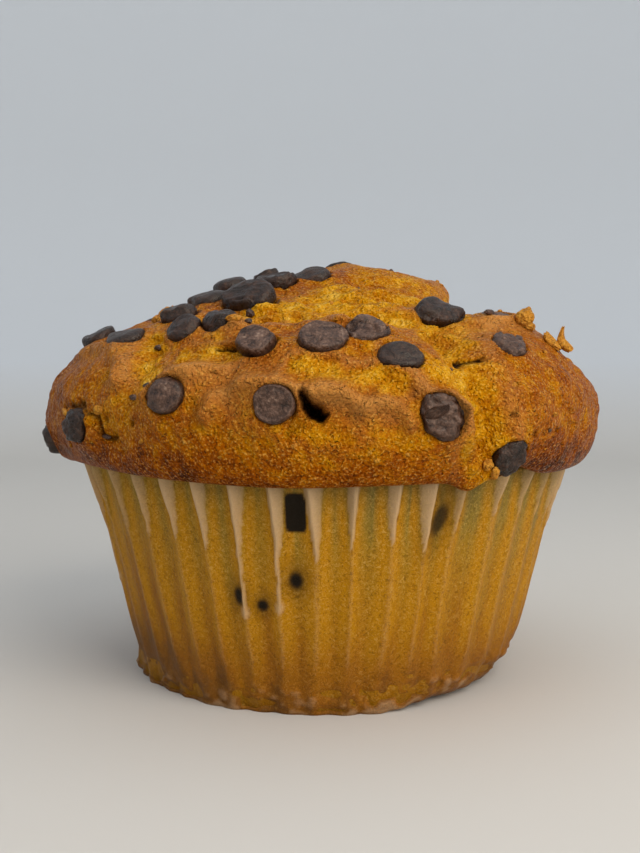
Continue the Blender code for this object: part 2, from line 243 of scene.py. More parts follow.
def make_piece(name: str, points: Array, quads: Array, triangles: Array) -> Piece:
    """A smooth mesh object at the origin.

    Args:
        name: Object's name.
        points: Places in mm, one row a point.
        quads: Four indices a face.
        triangles: Three indices a face.

    Returns:
        The object, linked to the scene.
    """
    mesh = bpy.data.meshes.new(name)
    loops = np.concatenate([quads.ravel(), triangles.ravel()])
    sizes = np.repeat([4, 3], [len(quads), len(triangles)])
    starts = np.cumsum(sizes) - sizes
    mesh.vertices.add(len(points))
    mesh.vertices.foreach_set("co", (points * MM).astype(np.float32).ravel())
    mesh.loops.add(len(loops))
    mesh.loops.foreach_set("vertex_index", loops.astype(np.int32))
    mesh.polygons.add(len(sizes))
    mesh.polygons.foreach_set("loop_start", starts.astype(np.int32))
    mesh.polygons.foreach_set("loop_total", sizes.astype(np.int32))
    mesh.update(calc_edges=True)
    mesh.validate()
    mesh.shade_smooth()
    return add_object(name, mesh)


def paint(piece: Piece, name: str, values: Array) -> None:
    """Store one number a vertex on a piece, for its material to read."""
    layer = piece.data.attributes.new(name, "FLOAT", "POINT")
    layer.data.foreach_set("value", np.clip(values, 0.0, 1.0).astype(np.float32).ravel())


# ------------------------------------------------------------------ materials


def srgb(code: str) -> tuple[float, float, float, float]:
    """Linear colour of an sRGB hex code such as "a86b2c".

    Args:
        code: The hex code.

    Returns:
        Red, green, blue and alpha.
    """
    share = [int(code[i:i + 2], 16) / 255.0 for i in (0, 2, 4)]
    linear = [s / 12.92 if s <= 0.04045 else ((s + 0.055) / 1.055) ** 2.4 for s in share]
    return (*linear, 1.0)


def wire(tree: Tree, node: bpy.types.Node, inputs: dict) -> None:
    """Set a node's inputs to values, or link them to output sockets.

    Args:
        tree: The node's tree.
        node: The node.
        inputs: Socket name or number to a value or to another node's output socket.
    """
    for key, value in inputs.items():
        if isinstance(value, Socket):
            tree.links.new(value, node.inputs[key])
        else:
            node.inputs[key].default_value = value


def add_node(tree: Tree, kind: str, settings: dict | None = None,
             inputs: dict | None = None, stops: Stops = ()) -> bpy.types.Node:
    """Add a node with its settings, and set or link its inputs.

    Args:
        tree: Node tree to add to.
        kind: Node type, without its "ShaderNode" start.
        settings: Properties of the node.
        inputs: Socket name or number to a value or to another node's output socket.
        stops: A colour ramp's places and hex colours.

    Returns:
        The node.
    """
    node = tree.nodes.new("ShaderNode" + kind)
    for key, value in (settings or {}).items():
        setattr(node, key, value)
    wire(tree, node, inputs or {})
    if stops:
        elements = node.color_ramp.elements
        while len(elements) < len(stops):
            elements.new(0.5)
        for element, (place, code) in zip(elements, stops):
            element.position = place
            element.color = srgb(code)
    return node


def span(value: Socket, low: float, high: float, start: float, end: float) -> dict:
    """Inputs that make a Map Range node take low..high to start..end."""
    return {0: value, 1: low, 2: high, 3: start, 4: end}


MIX_A, MIX_B, MIX_OUT = 6, 7, 2      # colour sockets of the Mix node


@dataclass(frozen=True)
class Noise:
    """A noise pattern: the size of its features in mm, its detail, roughness and twist."""

    size: float
    detail: float
    rough: float
    twist: float = 0.0

    def at(self, place: Socket) -> dict:
        """Inputs that make a Noise Texture node draw the pattern."""
        return {"Vector": place, "Scale": 1.0 / self.size, "Detail": self.detail,
                "Roughness": self.rough, "Distortion": self.twist}


@dataclass(frozen=True)
class Finish:
    """What every finish here shares: a name, a Principled shader and patterns in mm."""

    name: str = "finish"

    def begin(self) -> tuple[Tree, bpy.types.Node, Socket]:
        """Start the material.

        Returns:
            Its tree, its shader and object coordinates in mm.
        """
        material = bpy.data.materials.new(self.name)
        material.use_nodes = True
        tree = material.node_tree
        coordinates = add_node(tree, "TexCoord")
        scaled = add_node(tree, "Mapping", {}, {0: coordinates.outputs["Object"], "Scale": (1 / MM,) * 3})
        return tree, tree.nodes["Principled BSDF"], scaled.outputs[0]

    @staticmethod
    def read(tree: Tree, names: tuple[str, ...],
             place: Socket, noises: tuple[Noise, ...]) -> list[Socket]:
        """What the finish is mixed from.

        Args:
            tree: The material's tree.
            names: Numbers that a piece carries at each vertex.
            place: Object coordinates in mm.
            noises: Patterns, which run from 0 to 1.

        Returns:
            One output socket for each name and then for each pattern.
        """
        carried = [add_node(tree, "Attribute", {"attribute_name": name}).outputs["Fac"] for name in names]
        return carried + [add_node(tree, "TexNoise", {}, noise.at(place)).outputs[0] for noise in noises]

    @staticmethod
    def sway(tree: Tree, base: Socket, *waves: tuple[Socket, float]) -> Socket:
        """The base, and for each wave and its amount, amount * (wave - 0.5) more.

        Args:
            tree: The material's tree.
            base: What the waves sway.
            waves: Each wave, from 0 to 1, and its amount.

        Returns:
            The swayed value.
        """
        for wave, amount in waves:
            centred = add_node(tree, "Math", {"operation": "SUBTRACT"}, {0: wave, 1: 0.5})
            base = add_node(tree, "Math", {"operation": "MULTIPLY_ADD"},
                            {0: centred.outputs[0], 1: amount, 2: base}).outputs[0]
        return base

    @staticmethod
    def tint(tree: Tree, colour: Socket, *tints: tuple[Socket, str]) -> Socket:
        """The colour with tints laid over it, one after another.

        Args:
            tree: The material's tree.
            colour: The colour underneath.
            tints: Each tint's share and hex code.

        Returns:
            The tinted colour.
        """
        for share, code in tints:
            colour = add_node(tree, "Mix", {"data_type": "RGBA"},
                              {0: share, MIX_A: colour, MIX_B: srgb(code)}).outputs[MIX_OUT]
        return colour

    @staticmethod
    def relief(tree: Tree, *layers: tuple[Socket, float]) -> Socket:
        """Bumps stacked on each other, the coarsest first.

        Args:
            tree: The material's tree.
            layers: Each bump's height, from 0 to 1, and its depth in mm.

        Returns:
            The normal.
        """
        below = {}
        for height, depth in layers:
            bump = add_node(tree, "Bump", {}, {"Height": height, "Distance": depth * MM, **below})
            below = {"Normal": bump.outputs[0]}
        return below["Normal"]


@dataclass(frozen=True)
class BakedCrust(Finish):
    """Oven-baked cake: golden to brown crust, yellow crumb in the cracks, slightly moist.

    The eye gets a mottled colour that deepens where the crust stood nearest the heat, a
    sugary speckle under half a millimetre, pinkish dry brows over the cracks and small
    soft glints from the butter in it.  The mottle and speckle also carry painted shade and
    highlight: they drive the bump as well, and are painted lighter on their rises and darker
    in their hollows.
    """

    name: str = "baked_cake_crust"
    stops: Stops = (
        (0.0, "dcae44"), (0.15, "c99018"), (0.32, "b37505"), (0.50, "9e5a04"), (0.66, "894302"),
        (0.82, "672d02"), (1.0, "3a1702"))
    brow: str = "b67a3a"
    pale: str = "d8a050"
    pit_shade_colour: str = "150804"
    # Painted shade: near-black laid in the pores, holes and slits and in a ring round each chip.
    butter: str = "ffb850"
    speckle_and_relief_highlight: Noise = Noise(0.32, 1.0, 0.6)
    mottle_and_relief_shade: Noise = Noise(1.9, 4.0, 0.65)
    patch: Noise = Noise(6.5, 3.0, 0.6)
    sugar: float = 0.55
    plain_gloss: float = 0.36      # level that stands in where the glint can't be carried over

    def make(self) -> bpy.types.Material:
        """Build the material.

        Returns:
            The material.
        """
        tree, shader, place = self.begin()
        crumb, bake, dry, pit_shade, fine, middle, broad = self.read(
            tree, ("crumb", "bake", "dry", "pit_shade"), place, (self.speckle_and_relief_highlight, self.mottle_and_relief_shade, self.patch))
        dots = add_node(tree, "TexVoronoi", {}, {"Vector": place, "Scale": 1 / self.sugar,
                                                 "Randomness": 1.0}).outputs["Distance"]
        # Painted shade and highlight: the speckle and mottle patterns also raise the bump below, so the
        # crust is painted lighter where they rise and darker in their hollows; the broad patch is plain
        # colour.
        shade = self.sway(tree, bake, (fine, -0.56), (middle, -0.84), (broad, 0.30))
        colour = add_node(tree, "ValToRGB", {}, {0: shade}, self.stops).outputs[0]
        # The pale grains sit on the speckle's highest rises: partly sugar in the crust, partly a painted
        # highlight.
        grains = add_node(tree, "MapRange", {}, span(fine, 0.58, 0.76, 0.0, 0.55)).outputs[0]
        rough = add_node(tree, "MapRange", {}, span(crumb, 0.0, 1.0, 0.42, 0.58)).outputs[0]
        glint = add_node(tree, "MapRange", {}, span(fine, 0.48, 0.68, 0.08, 0.75)).outputs[0]
        shader.inputs["Specular IOR Level"].default_value = self.plain_gloss
        wire(tree, shader, {
            "Base Color": self.tint(tree, colour, (dry, self.brow), (grains, self.pale), (pit_shade, self.pit_shade_colour)),
            "Roughness": self.sway(tree, rough, (middle, 0.55)),
            "Normal": self.relief(tree, (middle, 1.15), (dots, -0.30), (fine, 0.24)),
            "Specular IOR Level": glint, "Specular Tint": srgb(self.butter), "IOR": 1.38,
            "Subsurface Weight": 0.05, "Subsurface Radius": (1.2, 0.5, 0.1), "Subsurface Scale": MM})
        return bpy.data.materials[self.name]


@dataclass(frozen=True)
class DarkChocolate(Finish):
    """Baking chocolate that softened and set again: satin, slightly bloomed.

    The eye gets a near-black brown with greyer, drier patches on the flat faces, and a
    broken satin gloss that follows the small wrinkles of the skin.
    """

    name: str = "dark_chocolate_satin"
    stops: Stops = (
        (0.24, "0f0603"), (0.42, "24130c"), (0.58, "3f291e"), (0.75, "60473a"), (1.0, "957e6d"))
    gloss: str = "fff0e4"
    bloom: Noise = Noise(1.5, 5.0, 0.65)
    skin: Noise = Noise(0.34, 3.0, 0.6)

    def make(self) -> bpy.types.Material:
        """Build the material.

        Returns:
            The material.
        """
        tree, shader, place = self.begin()
        face, bloom, skin = self.read(tree, ("face",), place, (self.bloom, self.skin))
        tone = self.sway(tree, bloom, (skin, 0.75))
        faded = add_node(tree, "MapRange", {}, span(face, 0.0, 1.0, -0.11, 0.12)).outputs[0]
        lifted = add_node(tree, "Math", {}, {0: tone, 1: faded}).outputs[0]
        wire(tree, shader, {
            "Base Color": add_node(tree, "ValToRGB", {}, {0: lifted}, self.stops).outputs[0],
            "Roughness": add_node(tree, "MapRange", {}, span(tone, 0.2, 0.8, 0.19, 0.56)).outputs[0],
            "Normal": self.relief(tree, (bloom, 0.34), (skin, 0.13)),
            "Specular IOR Level": 0.55, "Specular Tint": srgb(self.gloss), "IOR": 1.46})
        return bpy.data.materials[self.name]


@dataclass(frozen=True)
class GreaseproofPaper(Finish):
    """Greaseproof baking paper, see-through where the moist cake wets it.

    The eye gets warm amber where it clings, with the baked crumb's worm-like mottle behind
    it, and dry, paler, faintly glossy streaks where a pleat stands off.
    """

    name: str = "greaseproof_paper_stained"
    cling: Stops = (
        (0.0, "6c4212"), (0.10, "85500a"), (0.26, "935c04"), (0.48, "9c6a06"), (0.70, "946d14"),
        (0.86, "806a26"), (1.0, "6e602c"))
    dry: str = "c4a27c"
    amber: str = "ae7600"
    light: str = "c8a058"
    shade: str = "58380c"
    chip: str = "0c0805"
    gloss: str = "ffe6c4"
    worm: Noise = Noise(0.40, 2.0, 0.6, 1.4)
    fibre: Noise = Noise(0.26, 2.0, 0.6)
    stain: Noise = Noise(3.2, 4.0, 0.6)
    stain_stretch: float = 0.4      # on Z, so that stains run up the wall

    def make(self) -> bpy.types.Material:
        """Build the material.

        Returns:
            The material.
        """
        tree, shader, place = self.begin()
        long_way = add_node(tree, "Mapping", {}, {
            0: place, "Scale": (1.0, 1.0, self.stain_stretch)}).outputs[0]
        height, amber, dark, lift, worm, fine = self.read(
            tree, ("height", "amber", "dark", "lift"), place, (self.worm, self.fibre))
        stain, = self.read(tree, (), long_way, (self.stain,))
        level = self.sway(tree, height, (stain, 0.42))
        colour = add_node(tree, "ValToRGB", {}, {0: level}, self.cling).outputs[0]
        fleck = add_node(tree, "MapRange", {}, span(worm, 0.52, 0.70, 0.0, 0.44)).outputs[0]
        above_foot = add_node(tree, "MapRange", {}, span(height, 0.05, 0.55, 0.30, 1.0)).outputs[0]
        fleck = add_node(tree, "Math", {"operation": "MULTIPLY"}, {0: fleck, 1: above_foot}).outputs[0]
        dim = add_node(tree, "MapRange", {}, span(worm, 0.48, 0.32, 0.0, 0.55)).outputs[0]
        edge = self.sway(tree, lift, (fine, 0.30))
        dry = add_node(tree, "MapRange", {}, span(edge, 0.10, 0.90, 0.0, 0.84)).outputs[0]
        rough = self.sway(tree, worm, (fine, 0.2))
        wire(tree, shader, {
            "Base Color": self.tint(tree, colour, (amber, self.amber), (fleck, self.light),
                                    (dim, self.shade), (dark, self.chip), (dry, self.dry)),
            "Roughness": add_node(tree, "MapRange", {}, span(rough, 0.2, 0.8, 0.32, 0.60)).outputs[0],
            "Normal": self.relief(tree, (stain, 0.20), (worm, 0.10), (fine, 0.03)),
            "Specular IOR Level": 0.24, "Specular Tint": srgb(self.gloss), "IOR": 1.42,
            "Subsurface Weight": 0.08, "Subsurface Radius": (1.2, 0.6, 0.2), "Subsurface Scale": MM})
        return bpy.data.materials[self.name]


@dataclass(frozen=True)
class MattBoard(Finish):
    """Matt board of the studio sweep: warm grey on the floor, cooler up the wall."""

    name: str = "matt_board"
    low: str = "c9c6c0"
    high: str = "ced3d8"
    turns_at: float = 40.0

    def make(self) -> bpy.types.Material:
        """Build the material.

        Returns:
            The material.
        """
        tree, shader, place = self.begin()
        apart = add_node(tree, "SeparateXYZ", {}, {0: place})
        share = add_node(tree, "MapRange", {}, span(apart.outputs[2], 0.0, self.turns_at, 0.0, 1.0))
        colour = add_node(tree, "Mix", {"data_type": "RGBA"}, {
            0: share.outputs[0], MIX_A: srgb(self.low), MIX_B: srgb(self.high)}).outputs[MIX_OUT]
        wire(tree, shader, {"Base Color": colour, "Roughness": 0.9})
        return bpy.data.materials[self.name]


# ------------------------------------------------------------------ the cap's form


@dataclass(frozen=True)
class Swell:
    """A rise or hollow: rise * exp(-q^crown), q the elliptic distance squared from its middle."""

    azimuth: float
    climb: float
    across: float
    along: float
    turn: float
    rise: float
    crown: float = 1.0


@dataclass(frozen=True)
class Seam:
    """A crack or crest along a short path of (azimuth, climb): rise * exp(-(d / width)^2)."""

    width: float
    rise: float
    path: tuple[tuple[float, float], ...]


@dataclass(frozen=True)
class Hem:
    """A rise of the lip's lower edge round one azimuth, spread in degrees."""

    azimuth: float
    spread: float
    rise: float


@dataclass
class CapForm:
    """The domed cap: a turned outline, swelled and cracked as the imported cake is."""

    rim: float
    radius: float = 41.1
    rise: float = 16.5
    roundness: float = 2.2
    lip_radius: float = 38.1
    swells: tuple[Swell, ...] = (
        Swell(106, 0.832, 9.0, 12.5, 0, 4.5, 2.0),
        Swell(-60, 0.88, 12.0, 11.0, 0, 2.1),
        Swell(20, 0.74, 9.0, 7.0, 0, 1.5),
        Swell(60, 0.47, 9.5, 9.0, 0, 1.3),
        Swell(48, 0.22, 10.0, 7.0, 0, 0.5),
        Swell(88, 0.36, 9.0, 6.0, 0, -1.1),
        Swell(-72, 0.22, 13.0, 8.0, 0, 0.8),
        Swell(-2, 0.19, 15.0, 7.0, 0, 0.5),
        Swell(-23, 0.268, 4.6, 1.7, -5, 0.8),
        Swell(-11, 0.250, 5.0, 1.5, -8, 0.7),
        Swell(2, 0.235, 3.6, 2.0, 0, 0.9),
        Swell(-15, 0.315, 9.0, 2.0, 0, -0.7),
        Swell(-38, 0.36, 4.0, 5.0, 20, -0.8),
        Swell(-42, 0.12, 5.0, 6.0, 0, -0.4),
        Swell(165, 0.60, 13.0, 9.0, 0, 1.3),
        Swell(-135, 0.50, 11.0, 9.0, 0, 1.2),
        Swell(112, 0.40, 10.0, 8.0, 0, 0.9),
        Swell(180, 0.20, 12.0, 6.0, 0, 0.6),
    )
    cracks: tuple[Seam, ...] = (
        Seam(3.0, -2.3, ((128, 0.62), (92, 0.635), (60, 0.60), (36, 0.50), (29, 0.40))),
        Seam(2.8, -1.9, ((29, 0.40), (28, 0.29), (28.5, 0.17), (30, 0.05))),
        Seam(2.6, -1.3, ((-30, 0.50), (-11, 0.545), (4, 0.56), (20, 0.52))),
        Seam(2.8, -1.8, ((128, 0.62), (150, 0.72), (-170, 0.70), (-135, 0.68))),
        Seam(2.4, -1.4, ((-135, 0.68), (-108, 0.58), (-96, 0.44))),
        Seam(2.4, -1.5, ((-170, 0.70), (-166, 0.52), (-158, 0.36), (-161, 0.22))),
        Seam(2.2, -1.2, ((134, 0.60), (136, 0.44), (131, 0.30))),
    )
    crests: tuple[Seam, ...] = (
        Seam(1.7, 1.0, ((-23, 0.43), (-10, 0.465), (2, 0.475), (14, 0.44))),
        Seam(1.6, 0.7, ((15, 0.40), (18, 0.31), (22, 0.22), (25, 0.12))),
    )
    hems: tuple[Hem, ...] = (
        Hem(40, 6.5, 1.5), Hem(28, 3.0, -1.2), Hem(-60, 22, 0.7), Hem(-8, 14, -0.3),
        Hem(100, 16, 0.6), Hem(150, 12, -0.5), Hem(-165, 10, 0.7), Hem(-120, 14, -0.4),
    )
    lip_drop: float = 0.78          # the lip's edge under the rim of the paper
    widest_rise: float = 6.82
    heart_rise: float = 3.02        # the point that swells push away from
    samples: int = 1600
    lip: float = field(init=False)
    widest: float = field(init=False)
    heart: Array = field(init=False)
    outline: tuple[Array, Array, Array] = field(init=False)

    def __post_init__(self) -> None:
        """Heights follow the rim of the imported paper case."""
        self.lip = self.rim - self.lip_drop
        self.widest = self.rim + self.widest_rise
        self.heart = np.array([0.0, 0.0, self.rim + self.heart_rise])
        self.outline = self.measured()

    def measured(self) -> tuple[Array, Array, Array]:
        """Climb, radius and height up the plain cap.

        A quarter ellipse swells out below the widest ring and a superellipse closes the
        dome above it; climb is the share of the length.

        Returns:
            Climb, radius and height.
        """
        swing = np.linspace(0.0, math.pi / 2, self.samples)
        low_radius = self.lip_radius + (self.radius - self.lip_radius) * np.sin(swing)
        low_height = self.widest - (self.widest - self.lip) * np.cos(swing)
        power = 2.0 / self.roundness
        top_radius = self.radius * np.cos(swing) ** power
        top_height = self.widest + self.rise * np.sin(swing) ** power
        top_radius[-1] = 0.0
        radius = np.concatenate([low_radius, top_radius[1:]])
        height = np.concatenate([low_height, top_height[1:]])
        length = np.concatenate([[0.0], np.cumsum(np.hypot(np.diff(radius), np.diff(height)))])
        return length / length[-1], radius, height

    def plain(self, azimuth: Array, climb: Array) -> Array:
        """Points of the plain, turned cap.

        Args:
            azimuth: Degrees round it.
            climb: Shares of its outline's length.

        Returns:
            Points in mm.
        """
        along, radius, height = self.outline
        return around(azimuth, np.interp(climb, along, radius), np.interp(climb, along, height))

    def swell_at(self, points: Array, swell: Swell) -> Array:
        """One swell's rise.

        Args:
            points: Points of the plain cap.
            swell: The swell.

        Returns:
            Rise in mm at each point.
        """
        centre = self.plain(swell.azimuth, swell.climb)
        angle, turn, step = math.radians(swell.azimuth), math.radians(swell.turn), 0.004
        across = np.array([math.cos(angle), math.sin(angle), 0.0])
        along = unit(self.plain(swell.azimuth, min(swell.climb + step, 1.0))
                     - self.plain(swell.azimuth, swell.climb - step))
        first = math.cos(turn) * across + math.sin(turn) * along
        second = math.cos(turn) * along - math.sin(turn) * across
        offset = points - centre
        side, up = offset @ first, offset @ second
        deep = np.maximum((offset ** 2).sum(axis=-1) - side ** 2 - up ** 2, 0.0)
        reach = min(swell.across, swell.along)
        q = (side / swell.across) ** 2 + (up / swell.along) ** 2 + deep / (2 * reach) ** 2
        return swell.rise * np.exp(-q ** swell.crown)

    def seam_distance(self, points: Array, path: tuple[tuple[float, float], ...]) -> Array:
        """How far points lie from a seam.

        Args:
            points: Points of the plain cap.
            path: Azimuth and climb of the seam's corners.

        Returns:
            Distance in mm from each point to the nearest stretch.
        """
        stops = [self.plain(azimuth, climb) for azimuth, climb in path]
        nearest = np.full(points.shape[:-1], np.inf)
        for start, end in zip(stops[:-1], stops[1:]):
            run = end - start
            share = np.clip(((points - start) @ run) / (run @ run), 0.0, 1.0)
            gap = points - (start + share[..., None] * run)
            nearest = np.minimum(nearest, (gap ** 2).sum(axis=-1))
        return np.sqrt(nearest)

    def seam_line(self, points: Array, seam: Seam, spread: float = 1.0) -> Array:
        """1 on a seam, falling off as exp(-(d / (spread * width))^2) with the distance d."""
        return np.exp(-(self.seam_distance(points, seam.path) / (spread * seam.width)) ** 2)

    def shape(self, points: Array) -> Array:
        """The cap with its swells, cracks and crests, which push out from the heart, and its hem.

        Args:
            points: Points of the plain cap.

        Returns:
            Moved points.
        """
        rise = sum(self.swell_at(points, swell) for swell in self.swells)
        for seam in self.cracks + self.crests:
            rise = rise + seam.rise * self.seam_line(points, seam)
        azimuth = np.degrees(np.arctan2(points[..., 0], -points[..., 1]))
        above = smoothstep(self.lip, self.lip + 4.5, points[..., 2])
        near = 1.0 - smoothstep(self.lip, self.widest, points[..., 2])
        moved = points + unit(points - self.heart) * (rise * above)[..., None]
        moved[..., 2] += self.hem_at(azimuth) * near
        return moved

    def hem_at(self, azimuth: Array) -> Array:
        """Rise of the lip's lower edge.

        Args:
            azimuth: Degrees round the cap.

        Returns:
            Rise in mm at each azimuth.
        """
        total = np.zeros_like(azimuth)
        for hem in self.hems:
            away = (azimuth - hem.azimuth + 180.0) % 360.0 - 180.0
            total += hem.rise * np.exp(-(away / hem.spread) ** 2)
        return total


# ------------------------------------------------------------------ chocolate chips


class ChipForm(Enum):
    """How a chip set again; the value is the squareness of its section above its edge."""

    DISC = 4.2
    DOME = 2.5
    TEAR = 3.0
    FOLDED = 3.2
    CHUNK = 2.6


@dataclass
class ChipSeat:
    """Where a packed chip lies: its middle, three axes and half sizes, read off its node."""

    node: str
    middle: Array
    axes: Array
    half: Array

    @classmethod
    def read(cls, node: str) -> ChipSeat:
        """Measure a packed chip: its largest flat side is its seat, and its top faces away from it.

        Args:
            node: CAD node's name.

        Returns:
            The seat.
        """
        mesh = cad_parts[node].data
        flat, normals = np.empty(len(mesh.vertices) * 3), np.empty(len(mesh.polygons) * 3)
        areas = np.empty(len(mesh.polygons))
        mesh.vertices.foreach_get("co", flat)
        mesh.polygons.foreach_get("normal", normals)
        mesh.polygons.foreach_get("area", areas)
        points = np.unique(np.round(flat.reshape(-1, 3) / MM, 3), axis=0)
        normals = normals.reshape(-1, 3)
        together = (normals @ normals.T > 0.999) @ areas
        outward = -unit(normals[together.argmax()])
        middle = (points.min(axis=0) + points.max(axis=0)) / 2
        spread = points - points.mean(axis=0)
        _, _, axes = np.linalg.svd(spread - (spread @ outward)[:, None] * outward)
        length = axes[0] * (1.0 if axes[0][0] > 0 else -1.0)
        turned = np.stack([length, np.cross(outward, length), outward])
        spread = (points - middle) @ turned.T
        low, high = spread.min(axis=0), spread.max(axis=0)
        return cls(node, middle + ((low + high) / 2) @ turned, turned, (high - low) / 2)

    def local(self, points: Array) -> Array:
        """World points in the chip's own axes, as shares of its half sizes."""
        return ((points - self.middle) @ self.axes.T) / self.half


@dataclass
class Chips:
    """All the chocolate chips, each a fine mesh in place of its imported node."""

    seats: dict[str, ChipSeat]
    material: bpy.types.Material
    turns: int = 60
    rows: int = 34
    lower_squareness: float = 2.4
    first_seed: int = 100
    # Chips that bloomed least, and so stay darkest.
    fresh: tuple[str, ...] = ("chip_pile", "chip_crown", "chip_shoulder", "chip_left",
                              "chip_plate_right", "chip_knob_right", "chip_cleft")
    shaped: tuple[tuple[ChipForm, str], ...] = (
        (ChipForm.DOME, "plate_right left_edge crown_dome crown_flat back_right front_left pile_round"),
        (ChipForm.TEAR, "pile_drop pile_back shoulder_near back_left right_high"),
        (ChipForm.FOLDED, "knob_right pile_big pile_left pile_thick plate_upper back_left_high"),
        (ChipForm.CHUNK, "valley lobe_front lobe_crest cleft left_pocket back_knob"))

    def build(self) -> list[Piece]:
        """Build every chip."""
        return [self.one(seat, seed) for seed, seat in enumerate(self.seats.values())]

    def form_of(self, name: str) -> ChipForm:
        """The form of a chip; one that isn't listed is a disc."""
        return next((form for form, names in self.shaped if name in names.split()), ChipForm.DISC)

    def section(self, square: float) -> tuple[Array, Array]:
        """Radius and height of the section, evenly spaced along it from top to bottom.

        A superellipse: radius is (sin a)^(2/p) and height (cos a)^(2/p), p the squareness,
        which is a fixed one below the edge.

        Args:
            square: Squareness above the edge.

        Returns:
            Radius and height.
        """
        swing = np.linspace(0.0, math.pi, 2000)
        power = 2.0 / np.where(swing < math.pi / 2, square, self.lower_squareness)
        radius = np.sin(swing).clip(0.0) ** power
        height = np.sign(np.cos(swing)) * np.abs(np.cos(swing)) ** power
        length = np.concatenate([[0.0], np.cumsum(np.hypot(np.diff(radius), np.diff(height)))])
        even = np.linspace(0.0, length[-1], self.rows)[1:-1]
        return np.interp(even, length, radius), np.interp(even, length, height)

    def one(self, seat: ChipSeat, seed: int) -> Piece:
        """One chip: its section turned round, made uneven by its form, laid in its seat.

        Args:
            seat: Where it lies.
            seed: Its own noise.

        Returns:
            The piece.
        """
        form = self.form_of(seat.node.removeprefix("chip_"))
        unit_chip, quads, triangles = ball(*self.section(form.value), self.turns)
        points = self.uneven(unit_chip, form, Grain(self.first_seed + seed))
        world = (points * seat.half) @ seat.axes + seat.middle
        piece = make_piece(seat.node.replace("chip_", "choc_"), world, quads, triangles)
        bloomed = 0.0 if seat.node.startswith(self.fresh) else 1.0
        paint(piece, "face", bloomed * (0.4 + 0.6 * smoothstep(0.2, 0.8, unit_chip[:, 2])))
        piece.data.materials.append(self.material)
        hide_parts(seat.node)
        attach(piece, BODY)
        return piece

    def uneven(self, points: Array, form: ChipForm, grain: Grain) -> Array:
        """Make a unit chip uneven: a lopsided outline, then skin relief by its form.

        Args:
            points: Places on the unit chip.
            form: How it set.
            grain: Its noise.

        Returns:
            Moved places, about 1.1 from the middle at most.
        """
        reach = np.hypot(points[:, 0], points[:, 1])
        rim = points * (1.0, 1.0, 0.0)
        moved = points.copy()
        outline = 0.11 * grain.soft(rim + 3.0, 0.9) + 0.05 * grain.soft(rim + 9.0, 0.35)
        moved[:, :2] *= (1.0 + outline)[:, None]
        top = smoothstep(-0.1, 0.5, points[:, 2])
        relief = 0.10 * grain.layered(points, 0.9, 2) + 0.05 * grain.layered(points, 0.30)
        if form is ChipForm.DISC:
            dish = 0.08 * np.exp(-((reach - 0.90) / 0.06) ** 2) - 0.14 * smoothstep(0.90, 0.70, reach)
            wrinkle = smoothstep(0.86, 1.0, grain.ridged(points + 12.0, 1.5, 2))
            relief += top * (dish + 0.30 * grain.soft(points + 20.0, 1.3) - 0.16 * wrinkle)
        elif form is ChipForm.DOME:
            spiral = np.arctan2(points[:, 1], points[:, 0]) + 8.0 * reach + 2.5 * grain.soft(points, 1.0)
            relief += top * 0.10 * np.cos(spiral) * smoothstep(0.1, 0.5, reach)
        elif form is ChipForm.TEAR:
            point = smoothstep(-0.1, -1.1, points[:, 0])
            moved[:, 1] *= 1.0 - 0.72 * point
            moved[:, 0] *= 1.0 + 0.12 * point
            relief += top * (0.18 * point - 0.12 * np.exp(-(reach / 0.5) ** 2))
        elif form is ChipForm.FOLDED:
            crease = smoothstep(0.84, 1.0, grain.ridged(points + 5.0, 1.2, 2))
            relief += top * (0.40 * grain.soft(points + 30.0, 0.9) - 0.55 * crease)
            relief += 0.16 * (grain.ridged(points, 0.45) - 0.5)
        else:
            near = grain.cells(points + 5.0, 0.5)
            relief += 0.42 * (0.45 - near) * top + 0.16 * grain.layered(points, 0.35)
            moved[:, :2] *= (1.0 + 0.16 * (0.4 - near))[:, None]
        moved[:, 2] += relief * np.sign(points[:, 2] + 1e-6) * smoothstep(0.0, 0.35, np.abs(points[:, 2]))
        return moved


# ------------------------------------------------------------------ the cake


